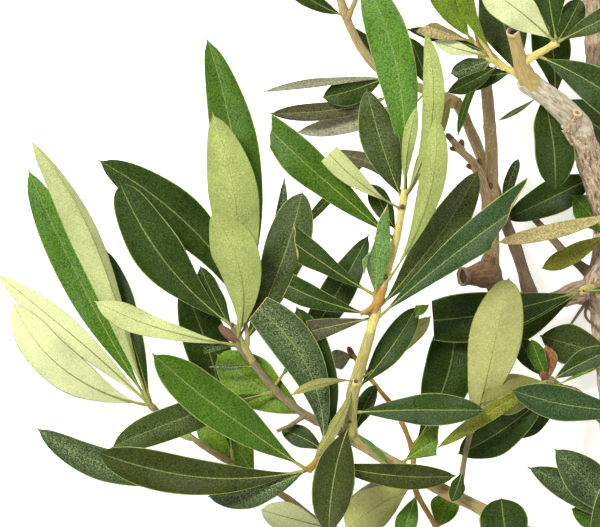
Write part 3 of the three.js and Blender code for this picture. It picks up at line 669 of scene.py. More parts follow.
def buildWoodTree():    # round limbs with bark relief that runs along them, and buds on loose points
    tree, given, wanted = newGroup(
        "barkedLimbs", "GeometryNodeTree",
        {"Lines": ("Geometry", None), "Sides": ("Int", 16), "Relief": ("Float", 0.0003),
         "Ripple Scale": ("Float", 2.2), "Lumps": ("Float", 0.0004), "Lump Scale": ("Float", 90.0),
         "Step": ("Float", 0.0012), "Seed": ("Float", 0.0), "Bark": ("Material", None),
         "Bud Bark": ("Material", None)},
        {"Wood": "Geometry"})
    lines = place(tree, "GeometryNodeResampleCurve",
                  {"Curve": asCurve(tree, given["Lines"]), "Length": given["Step"]}, mode="LENGTH").outputs[0]
    spline = place(tree, "GeometryNodeSplineParameter")
    lines = keepField(tree, lines, "limbLength", spline.outputs["Length"])
    turn = product(tree, spline.outputs["Factor"], math.tau)
    compass = {0: calculate(tree, "COSINE", turn), 1: calculate(tree, "SINE", turn)}
    compass = place(tree, "ShaderNodeCombineXYZ", compass).outputs[0]
    circle = keepField(tree, ringCurve(tree, given["Sides"]), "around", compass, kind="FLOAT_VECTOR")
    skin = sweep(tree, lines, circle, namedField(tree, "limbRadius"))
    around = namedField(tree, "around", "FLOAT_VECTOR")
    wrapped = unroll(tree, around, namedField(tree, "limbLength"), given["Seed"])
    ridges = noise(tree, wrapped, given["Ripple Scale"], 3.0)
    ridges = product(tree, calculate(tree, "SUBTRACT", ridges, 0.5), given["Relief"])
    lumps = noise(tree, place(tree, "GeometryNodeInputPosition").outputs[0], given["Lump Scale"], 2.0)
    lumps = product(tree, calculate(tree, "SUBTRACT", lumps, 0.5), given["Lumps"])
    normal = place(tree, "GeometryNodeInputNormal").outputs[0]
    swell = product(tree, calculate(tree, "ADD", ridges, lumps), 2.0)
    skin = paint(tree, shift(tree, skin, stretch(tree, normal, swell)), given["Bark"])

    budSize = namedField(tree, "budSize")
    isBud = compare(tree, "GREATER_THAN", budSize, 0.0)
    spots = place(tree, "GeometryNodeMeshToPoints", {"Mesh": given["Lines"], "Selection": isBud}).outputs[0]
    egg = place(tree, "GeometryNodeMeshIcoSphere", {"Radius": 1.0, "Subdivisions": 2}).outputs["Mesh"]
    egg = place(tree, "GeometryNodeTransform", {"Geometry": egg, "Scale": budShape}).outputs[0]
    lean = place(tree, "FunctionNodeAlignRotationToVector",
                 {"Vector": namedField(tree, "budAim", "FLOAT_VECTOR")}, axis="Z").outputs[0]
    buds = place(tree, "GeometryNodeInstanceOnPoints",
                 {"Points": spots, "Instance": egg, "Rotation": lean, "Scale": budSize}).outputs[0]
    buds = place(tree, "GeometryNodeRealizeInstances", {"Geometry": buds}).outputs[0]
    tree.links.new(joinSmoothly(tree, paint(tree, buds, given["Bud Bark"]), skin), wanted["Wood"])
    return tree


def grow(source, tree, values, name):    # runs a tree on an object; the result is a plain mesh object
    modifier = source.modifiers.new("grow", "NODES")
    modifier.node_group = tree
    sockets = {item.name: item.identifier for item in tree.interface.items_tree if item.in_out == "INPUT"}
    for label, value in values.items():
        modifier[sockets[label]] = value
    bpy.context.view_layer.update()
    evaluated = source.evaluated_get(bpy.context.evaluated_depsgraph_get())
    mesh = bpy.data.meshes.new_from_object(evaluated)
    mesh.name = name
    source.modifiers.remove(modifier)
    bpy.data.objects.remove(source)
    return addObject(name, mesh)


budShape = (0.62, 0.62, 1.15)    # a bud's form, times its size
leafTree = buildLeafTree()
woodTree = buildWoodTree()
leafSection = makeLeafSection()


def makeLeaves(name, path, leaves, seed):
    random = seededRandom(seed)
    runs = [leafStations(path, entry, random) for entry in leaves]
    lines = [[station["centre"] for station in run] for run in runs]
    fields = {label: [station[label] for run in runs for station in run] for label in runs[0][0]}
    source = linesMesh(name + "Lines", lines, fields)
    return grow(source, leafTree, {"Section": leafSection, **leafValues}, name)


woodShape = {"pointEvery": 1.5, "flareReach": 2.2, "swellReach": 1.3}


def makeWood(name, limbs, buds, values):    # limbs: path, radii, flare, swellings; buds: spot, aim, size
    shape = woodShape
    lines = []
    radii = []
    for path, sizes, flare, swellings in limbs:
        count = max(8, int(path.length / shape["pointEvery"]))
        for index in range(count + 1):
            run = index / count * path.length
            radius = path.value(index / count, sizes)
            radius *= 1 + flare * math.exp(-(run / (shape["flareReach"] * sizes[0])) ** 2)
            for at, size in swellings:
                radius += size * math.exp(-((run - at * path.length) / shape["swellReach"]) ** 2)
            radii.append(radius * millimetre)
        lines.append([path.at(index / count) for index in range(count + 1)])
    limbPoints = len(radii)
    lines += [[np.array(spot)] for spot, aim, size in buds]
    source = linesMesh(name + "Lines", lines, {
        "limbRadius": radii + [0.0] * len(buds),
        "budSize": [0.0] * limbPoints + [size * millimetre for spot, aim, size in buds],
        "budAim": [(0, 0, 1)] * limbPoints + [tuple(aim) for spot, aim, size in buds]})
    return grow(source, woodTree, values, name)


def keep(piece, slotName, *nodes):
    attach(piece, body)
    if nodes:
        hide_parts(*nodes)


# Leafy shoots: the stem, its bark, the leaves with their tones, small buds in the axils

shoots = {
    "left_shoot": {
        "stem": [[17, -62, 38], [2, -55, 40], [-9, -46, 42], [-17, -36, 44], [-22, -30, 46],
                 [-24, -23, 48]],
        "radii": [1.6, 1.1], "bark": "oliveTwig", "slot": "leaf_deep", "seed": 1,
        "sideTwigs": [([[2, -55, 40.5], [-3, -58.5, 41.5], [-8.4, -61, 42]], [0.9, 0.65])],
        "buds": [(1.0, 118, 1.2), (0.96, 90, 1.1)],
        "leaves": [
            leaf(1, 128, 67, 18, 12, "deep", sway=5, blunt=0.42),
            leaf(0.91, 101, 48, 17, 27, "sage", under=True, sway=-6),
            leaf(0.93, 96, 82, 18, 19, "sage", under=True, sway=-5),
            leaf(0.9, 96, 112, 17, -3, "grass", sway=-7),
            leaf(0.93, 128, 82, 17, 8, "deep", sway=-12.5, skew=0.7, roll=-14, arch=-2),
            leaf(0.88, 163, 55, 9.5, 0, "pale", under=True, sway=2.5, widestAt=0.76, taper=1.3),
            leaf(0.87, 182, 13, 5, -2, "silver", cut=0.5),
            leaf(0.79, 68.8, 62.4, 16.5, 4, "olive", sway=-2.3, widestAt=0.68, blunt=0.42,
                 base=(-21.5, -31.5, 45.5), tipTwist=40),
            leaf(0.21, 114.1, 58.2, 15.5, 14, "silver", sway=-7.7, cut=0.85, base=(8.5, -69.4, 42)),
            leaf(0.51, 199, 64, 13, -10, "olive", sway=-2),
            leaf(0.25, 146, 41, 19, -10, "lit"),
            leaf(0.91, 74, 62, 5, -7, "silver", sway=-4),
            leaf(0.97, 117.6, 27, 8, 3, "deep"),
            leaf(0.54, 58, 66, 12, -8, "deep", sway=-1.5),
            leaf(0.71, 181, 17, 2, -4, "silver"),
            leaf(0.2, 105.3, 53, 13, 12, "deep", base=(12.5, -66.4, 40)),
        ],
    },
    "lower_front_shoot": {
        "stem": [[17, -63, 39], [9, -69, 42], [3, -75, 46]],
        "radii": [1.3, 1.25], "bark": "orangeTwig", "slot": "leaf_green", "seed": 2,
        "leaves": [
            leaf(1, 143, 71, 17, 14, "grass", sway=1.5),
            leaf(1, 175, 77, 15, -2, "dusk", sway=6, arch=-2, widestAt=0.64, blunt=0.4),
            leaf(0.94, 196, 39, 12, -15, "silver", sway=2.5),
            leaf(0.3, -6.4, 51, 9.5, -8, "dusk", sway=-2.4, base=(6.5, -71.6, 43.2)),
            leaf(0.5, 153, 18.5, 8, -4, "deep", arch=0),
        ],
    },
    "center_shoot": {
        "stem": [[18, -63, 38], [19, -48, 44], [24, -30, 50], [27, -19, 53], [30, -8, 55], [35, 10, 59],
                 [38, 27, 62]],
        "radii": [2.1, 1.75, 1.65, 1.2], "bark": "yellowTwig", "slot": "leaf_green", "seed": 3,
        "scars": [0.063, 0.23, 0.652, 0.93],
        "leaves": [
            leaf(0.06, -101, 41, 16, 24, "dusk", sway=-2, widestAt=0.5),
            leaf(0.03, -42, 18, 5, 11, "bright", roll=60),
            leaf(0.1, 1, 49, 12, 8, "deep"),
            leaf(0.23, -118, 32, 4.5, -2, "straw", under=True),
            leaf(0.02, 65.3, 21.5, 7, -2, "deep", arch=0, base=(18.8, -63.6, 36.8)),
            leaf(0.23, -168, 24, 3.6, 14, "straw", under=True, arch=4, sway=-2),
            leaf(0.23, 54.2, 37.7, 10.5, -3, "deep", base=(20.5, -46, 44), sway=-1.2),
            leaf(0.47, 38.8, 63, 13.5, 14, "blue", cut=0.68, slant=1.85, sway=1),
            leaf(0.52, 54, 63, 14.5, 5, "olive", sway=-2.5),
            leaf(0.22, 41.4, 37, 6.5, -9, "straw", under=True, widestAt=0.75),
            leaf(0.49, -168, 24, 8, -1, "brown", cut=0.6),
            leaf(0.57, 147.5, 36, 12, 6, "deep", cut=0.5, taper=1.1, slant=-0.9),
            leaf(0.5, 161, 33, 10, 3, "deep", cut=0.6),
            leaf(0.57, 90, 22, 12.5, 8, "mist", cut=0.55, slant=-2.0, taper=0.8, base=(26.9, -12.4, 55.2)),
            leaf(0.8, 138.8, 60, 13.5, 3, "grass", cut=0.85, sway=0.8, slant=-0.8),
            leaf(0.92, 143, 33, 8.5, 13, "pale", under=True, cut=0.75, taper=2),
            leaf(0.95, 108, 43, 14, 2, "olive", widestAt=0.5, sway=1),
            leaf(0.99, 101, 82, 16, -2, "bright", sway=-5.5, roll=13),
            leaf(0.99, 82, 31, 5, 8, "sage", under=True),
            leaf(0.96, 83, 61, 8, 13, "sage", under=True, sway=-6.5),
            leaf(0.61, 73, 65, 10, 27, "sage", under=True, sway=-6.2, taper=2, widestAt=0.66),
            leaf(0.93, 66, 43, 6, 3, "straw", under=True),
            leaf(0.83, 118, 20, 8, -3, "deep"),
            leaf(0.97, 147, 27.7, 5.5, -6, "brown", cut=0.85, sway=-3.6),
            leaf(0.23, 62, 5.5, 4.6, 2, "lit", base=(42, -19.8, 42.6), arch=0, sway=0, cut=0.8, slant=-0.6),
        ],
    },
    "far_left_shoot": {
        "stem": [[37, -104, 10], [11, -97, 10], [-5, -86, 11], [-22, -75, 11], [-34, -68, 12],
                 [-42, -62, 12],
                 [-55, -52, 14]],
        "radii": [1.5, 1.2, 0.9], "bark": "boughBark", "slot": "leaf_pale", "seed": 4,
        "leaves": [
            leaf(1, 114.3, 107.6, 16, 16, "pale", under=True, sway=-6.4, skew=1.5, foldRight=68),
            leaf(1, 117.3, 98.2, 14, -2, "bright", sway=2),
            leaf(0.99, 106.7, 60.8, 10, -10, "deep", sway=0),
            leaf(1, 142.6, 63.2, 16, 10, "cream", under=True, sway=8.5),
            leaf(0.99, 139.7, 76.3, 10, -13, "cream", under=True, sway=-1),
            leaf(0.63, 169, 76, 13, -4, "silver", sway=9),
            leaf(0.55, 130, 34, 18, -3, "lit"),
            leaf(0.78, 155, 11, 3, 5, "sage", under=True),
            leaf(0.65, 106, 70, 17, 11, "deep", sway=-3),
            leaf(0.26, 165, 27, 11.5, 3, "cream", under=True, blunt=0.5, base=(11.5, -97.2, 12.2)),
            leaf(0.15, -108, 23, 15, -2, "grass"),
            leaf(0.06, -55, 29, 14, -2, "deep"),
        ],
    },
    "top_left_shoot": {
        "stem": [[57, 59, 14], [45, 64, 17], [35, 67, 20], [25, 75, 24], [17, 89.5, 28], [12.5, 106, 32]],
        "radii": [1.9, 1.5], "bark": "tanBark", "slot": "leaf_grey_green", "seed": 5,
        "sideTwigs": [([[42, 65, 18], [38, 86, 24], [31, 98, 28]], [1.2, 0.9]),
                      ([[17, 89, 28], [19, 93, 30.5], [21.5, 99, 33]], [1.1, 0.8])],
        "leaves": [
            leaf(0.35, -174, 48, 3.4, 10, "ash", sway=-1.5),
            leaf(0.38, -162, 25.5, 10.5, 3, "deep"),
            leaf(0.34, -165, 47.5, 7, -2, "brown", sway=6, skew=0.5),
            leaf(0.32, -153.7, 41.5, 7.5, -8, "ash", sway=7.5, skew=0.5),
            leaf(0.79, -50, 17, 7, -8, "deep", base=(17.3, 88, 27)),
            leaf(0.8, 150, 27, 7, 5, "deep", base=(16.8, 90, 28.5)),
            leaf(0.13, 113, 22, 8, 10, "deep"),
            leaf(0.16, -132.5, 69.2, 3.6, -9, "olive", sway=0, widestAt=0.8),
            leaf(0.9, 140, 40, 12, 8, "deep"),
            leaf(0.92, 70, 42, 12, 4, "grass"),
            leaf(0.99, 118, 48, 13, 10, "deep"),
            leaf(0.99, 96, 44, 12, -4, "sage", under=True),
        ],
    },
    "upper_left_shoot": {
        "stem": [[80, 68, 46], [72, 73, 48], [67, 79, 50], [62, 90, 54], [58, 105, 58]],
        "radii": [1.2, 0.6], "bark": "yellowTwig", "slot": "leaf_lime", "seed": 6,
        "sideTwigs": [([[74, 71, 47], [66, 76, 48], [62, 82, 49]], [1.0, 0.7])],
        "leaves": [
            leaf(0.5, 125, 27, 9, 10, "lime", base=(62.2, 81, 50), taper=0.9),
            leaf(0.46, 111.6, 38, 9, 18, "lime", base=(72, 72.9, 48.5), sway=2.4, foldLeft=70,
                 foldRight=5, taper=2.2),
            leaf(0.41, 159.7, 18, 8, 4, "tan", cut=0.7, base=(62.5, 80.2, 50), foldLeft=50, slant=0.8),
            leaf(0.26, 164.4, 19, 5.5, 1, "cream", under=True, base=(66.9, 75.5, 49)),
            leaf(0.29, 163, 32, 5, -3, "deep"),
            leaf(0.26, -160, 16.5, 7.5, -5, "silver"),
            leaf(0.19, -152, 22, 7, -6, "deep", base=(72.5, 72.3, 47.2), blunt=0.9, foldLeft=28),
            leaf(0.06, -170, 21, 9, -10, "deep", blunt=0.4),
            leaf(0.26, -114.2, 31, 3.2, -14, "grass", sway=-2.4),
            leaf(0.85, 140, 34, 10, 4, "lit"),
            leaf(0.9, 70, 36, 10, 8, "grass"),
            leaf(0.99, 118, 40, 11, 12, "lit"),
            leaf(0.99, 95, 38, 11, 0, "grass"),
            leaf(0.1, 109, 37, 17, -8, "olive", base=(78.9, 67.5, 42), widestAt=0.5),
        ],
    },
    "upper_right_shoot": {
        "stem": [[79.5, 72.5, 50], [85.5, 75.5, 53.5], [93, 80, 56]],
        "radii": [1.5, 1.2], "bark": "yellowTwig", "slot": "leaf_deep", "seed": 7,
        "leaves": [
            leaf(0.97, 143, 35, 15, 14, "cream", under=True),
            leaf(1.0, 97, 34, 13, 6, "deep"),
            leaf(1.0, 62, 18, 9, 0, "deep"),
            leaf(0.97, 25, 34, 9, 8, "olive"),
            leaf(0.45, -32, 50, 16, 4, "deep"),
            leaf(0.1, -33, 34, 17, -25, "deep", base=(91.6, 61, 35.5), arch=0),
            leaf(0.2, 97, 36, 15, -4, "deep", base=(93, 59, 36), arch=1),
        ],
    },
    "under_bough_shoot": {
        "stem": [[91, 61, 38], [89, 62, 33], [87, 61, 29]],
        "radii": [1.1, 0.9], "bark": "boughBark", "slot": "leaf_deep", "seed": 8,
        "leaves": [
            leaf(0.9, -82.6, 35.2, 15.6, -4, "deep", base=(88.6, 62, 31), widestAt=0.52, taper=0.6,
                 blunt=0.48),
            leaf(1.0, -149, 17, 2, 1, "brown"),
        ],
    },
    "crotch_shoot": {
        "stem": [[112, 25, 5], [105, 29, 8]],
        "radii": [1.1, 1.0], "bark": "boughBark", "slot": "leaf_deep", "seed": 9,
        "leaves": [
            leaf(0.87, -153.9, 40.5, 13, 0, "deep", arch=1, base=(112, 34, 7), widestAt=0.45),
            leaf(0.5, 72.5, 20.6, 4.4, -2, "silver", base=(74, 18.7, 14), arch=0, blunt=0.4),
        ],
    },
    "limb_side_shoot": {
        "stem": [[116, 18, 9], [119, 19, 18], [122, 21, 26]],
        "radii": [1.4, 1.1], "bark": "boughBark", "slot": "leaf_lime", "seed": 10,
        "leaves": [
            leaf(0.71, -166, 50, 6, 9, "tan", sway=1),
            leaf(0.59, -151.8, 28.5, 7.5, 6, "fade", base=(113.5, 11.5, 12)),
            leaf(0.47, 130.8, 21.1, 11, 3, "grass", base=(113.1, 9.3, 11), blunt=1.1),
            leaf(0.9, 20, 44, 13, 6, "grass"),
            leaf(0.98, 75, 40, 12, 10, "lit"),
            leaf(0.98, -18, 46, 13, 6, "grass"),
        ],
    },
    "knob_shoot": {
        "stem": [[109, -9, 12], [105, -9, 20], [103, -10, 25]],
        "radii": [1.3, 1.1], "bark": "yellowTwig", "slot": "leaf_deep", "seed": 11,
        "leaves": [
            leaf(0.84, -168.5, 56.4, 18, 7, "deep", cut=0.8),
            leaf(0.7, -152.5, 60, 13, -9, "deep", arch=2),
            leaf(0.95, 10, 40, 13, 6, "grass"),
        ],
    },
    "right_mid_shoot": {
        "stem": [[115, -32, 10], [120, -30, 19], [127, -26, 28]],
        "radii": [1.4, 1.1], "bark": "boughBark", "slot": "leaf_deep", "seed": 12,
        "leaves": [
            leaf(0.42, 163.5, 30.7, 15, 5, "olive", base=(117.1, -35.1, 12.5), blunt=0.75),
            leaf(0.8, 40, 44, 13, 4, "deep"),
            leaf(0.85, -40, 42, 13, -2, "grass"),
            leaf(0.99, 5, 50, 14, 8, "deep"),
            leaf(0.99, 66, 46, 12, 16, "sage", under=True),
        ],
    },
    "right_low_shoot": {
        "stem": [[116, -50, 10], [121, -51, 24], [124, -57, 38]],
        "radii": [1.5, 1.1], "bark": "boughBark", "slot": "leaf_grey_green", "seed": 13,
        "leaves": [
            leaf(0.76, 170, 47, 13, 17, "blue", sway=2),
            leaf(0.8, -10, 46, 13, 2, "deep"),
            leaf(0.97, -110.6, 50.5, 14, 2, "olive"),
            leaf(0.97, 25, 42, 12, 10, "sage", under=True),
        ],
    },
    "right_twig": {
        "stem": [[114, -61, 8], [107, -54, 18], [98, -47, 28], [90, -42, 34]],
        "radii": [1.5, 1.1], "bark": "boughBark", "slot": "leaf_deep", "seed": 14,
        "buds": [(1.0, 145, 2.1), (0.98, 100, 1.3), (0.97, 190, 1.3)],
        "leaves": [
            # this leaf's underside colour is darkened with painted shade
            leaf(0.98, -162, 26.5, 15, 9, "shadedKhaki", under=True, widestAt=0.5),
            leaf(0.99, 112.3, 15.8, 6.5, 3, "grass"),
            leaf(0.95, 27, 25, 9, 3, "deep"),
            leaf(0.83, 25.3, 15.3, 1.3, 10, "lit", arch=0, sway=0, base=(93.1, -44.5, 32)),
            leaf(0.82, -148, 46.4, 6, 8, "fade", base=(89.2, -42.5, 34), arch=6, widestAt=0.5, taper=0.6,
                 blunt=0.6),
            leaf(0.9, -144, 44, 15, -6, "deep", sway=2.5),
            leaf(0.74, -138, 26, 9, -9, "deep"),
            leaf(0.97, 96, 13, 7, 1, "rust", blunt=0.9),
            leaf(0.93, -23.2, 13.8, 3.5, 0, "rust"),
            leaf(0.96, 140, 5, 3.5, 3, "rust", widestAt=0.45),
            leaf(0.98, 126, 19, 8.5, -3, "deep"),
        ],
    },
    "inner_twig": {
        "stem": [[58, -86, 30], [60, -71, 33], [64, -54, 36]],
        "radii": [1.1, 0.9], "bark": "oliveTwig", "slot": "leaf_pale", "seed": 15,
        "leaves": [
            leaf(1, 76.9, 58.2, 19, 12, "flax", under=True, sway=-0.3, base=(62.8, -61.3, 34.5),
                 taper=0.8, blunt=0.42),
            leaf(0.33, -110, 12, 6, 6, "deep"),
        ],
    },
    "bottom_twig": {
        "stem": [[55, -106, 11], [49, -95, 15], [42, -82, 20], [41, -68, 23], [35, -54, 26], [28, -45, 28],
                 [19, -33, 31]],
        "radii": [1.1, 0.8], "bark": "orangeTwig", "slot": "leaf_green", "seed": 16,
        "buds": [(1.0, 120, 1.9), (0.98, 170, 1.2)],
        "leaves": [
            leaf(0.51, 72.8, 54, 20, -4, "deep", sway=-4.6),
            leaf(0.46, 34, 16, 10.5, 3, "lit", cut=0.6, slant=0.67, base=(36.9, -72.8, 35.5)),
            leaf(0.31, -112, 18, 8, 8, "bright"),
            leaf(0.345, -148, 30, 16, 1, "flax", under=True),
            leaf(0.42, -147, 30, 11, -9, "ash", arch=0),
            leaf(0.99, -162, 9, 7.5, -2, "ash"),
            leaf(0.12, 75, 14, 11, -1, "lit"),
        ],
    },
    "bottom_shoot": {
        "stem": [[84, -99, 22], [80, -106, 30], [75, -113, 36]],
        "radii": [1.2, 1.0], "bark": "boughBark", "slot": "leaf_deep", "seed": 17,
        "leaves": [
            leaf(0.77, 100, 25, 18, 9, "deep", blunt=0.35),
            leaf(0.9, -60, 40, 13, 4, "grass"),
            leaf(0.98, -125, 42, 13, 6, "sage", under=True),
            leaf(0.99, -95, 46, 13, 10, "grass"),
        ],
    },
    "butt_shoot": {
        "stem": [[119, -99, 13], [122, -96, 22], [127, -91, 30]],
        "radii": [1.3, 1.1], "bark": "boughBark", "slot": "leaf_deep", "seed": 18,
        "leaves": [
            leaf(0.35, 134, 41, 15, 14, "silver", blunt=0.7),
            leaf(0.23, 148, 44, 11, 7, "silver", sway=-2, blunt=0.8),
            leaf(0.1, 157, 22, 9, 3, "grass"),
            leaf(0.8, -20, 42, 13, 0, "grass"),
            leaf(0.98, 35, 46, 13, 6, "deep"),
            leaf(0.98, -70, 40, 12, 8, "sage", under=True),
        ],
    },
    "middle_top_shoot": {
        "stem": [[67, 75, 27], [65, 84, 30], [62, 97, 34], [60, 110, 38]],
        "radii": [1.6, 0.9], "bark": "stemBark", "slot": "leaf_deep", "seed": 19,
        "leaves": leafPairs(3, 0.6, 1, 42, 12, 98, 48, 0.12, ["deep", "grass", "deep", "silver"]),
    },
    "leader_shoot": {
        "stem": [[108, 100, 4], [105, 118, 11], [101, 136, 20]],
        "radii": [3.0, 1.2], "bark": "boughBark", "slot": "leaf_deep", "seed": 20,
        "leaves": leafPairs(5, 0.25, 1, 48, 13, 103, 52, 0.2, ["grass", "deep", "silver", "deep"]),
    },
    "right_upper_shoot": {
        "stem": [[113, 48, 6], [128, 58, 14], [140, 74, 24]],
        "radii": [1.9, 1.1], "bark": "boughBark", "slot": "leaf_grey_green", "seed": 21,
        "leaves": leafPairs(4, 0.4, 1, 46, 13, 50, 50, 0.2, ["silver", "deep", "grass"]),
    },
}
twigFinish = {    # relief, lumps and step in metres, the rest in millimetres or shares
    "sides": 12, "relief": 0.00018, "lumps": 0.00022, "lumpScale": 300.0, "step": 0.0008,
    "flare": 0.35, "nodeSwell": 0.14, "lastSwelling": 0.99,
    "axilSpan": (0.05, 0.98), "axilBud": 0.75, "axilOut": 0.8, "axilAhead": 1.4, "axilLean": (1.3, 0.7),
    "scar": 1.7, "scarRise": (0, 0, 0.55), "budRise": 0.3, "budAhead": 0.6,
}


def shootBuds(path, shoot):
    finish = twigFinish
    first, last = finish["axilSpan"]
    lengthwise, outward = finish["axilLean"]
    buds = []
    for entry in shoot["leaves"]:
        at = entry["at"]
        out = headed(entry["aim"])
        along = path.heading(at)
        if first < at < last:
            spot = path.at(at) + out * path.value(at, shoot["radii"]) * finish["axilOut"]
            lean = unit(along * lengthwise + out * outward)
            buds.append((spot + along * finish["axilAhead"], lean, finish["axilBud"]))
    for at in shoot.get("scars", []):    # shed leaves left a dark mark
        rise = np.array(finish["scarRise"]) * path.value(at, shoot["radii"])
        buds.append((path.at(at) + rise, (0, 0, 1), finish["scar"]))
    for at, aim, size in shoot.get("buds", []):
        lean = unit(headed(aim, finish["budRise"]))
        buds.append((path.at(at) + lean * size * finish["budAhead"], lean, size))
    return buds


for name, shoot in shoots.items():
    path = Path(shoot["stem"])
    leaves = makeLeaves(name + "Leaves", path, shoot["leaves"], shoot["seed"])
    keep(leaves, shoot["slot"], name)
    nodes = [min(entry["at"], twigFinish["lastSwelling"]) for entry in shoot["leaves"]]
    swellings = [(at, twigFinish["nodeSwell"]) for at in nodes]
    limbs = [(path, shoot["radii"], twigFinish["flare"], swellings)]
    limbs += [(Path(points), radii, twigFinish["flare"], []) for points, radii in shoot.get("sideTwigs", [])]
    stem = makeWood(name + "Stem", limbs, shootBuds(path, shoot), {
        "Sides": twigFinish["sides"], "Relief": twigFinish["relief"], "Lumps": twigFinish["lumps"],
        "Step": twigFinish["step"], "Seed": float(shoot["seed"]), "Lump Scale": twigFinish["lumpScale"],
        "Bark": barkLook[shoot["bark"]], "Bud Bark": barkLook["redBud"]})
    keep(stem, shoot["slot"], name)
print("shoots grown:", len(shoots))


# Limb and boughs

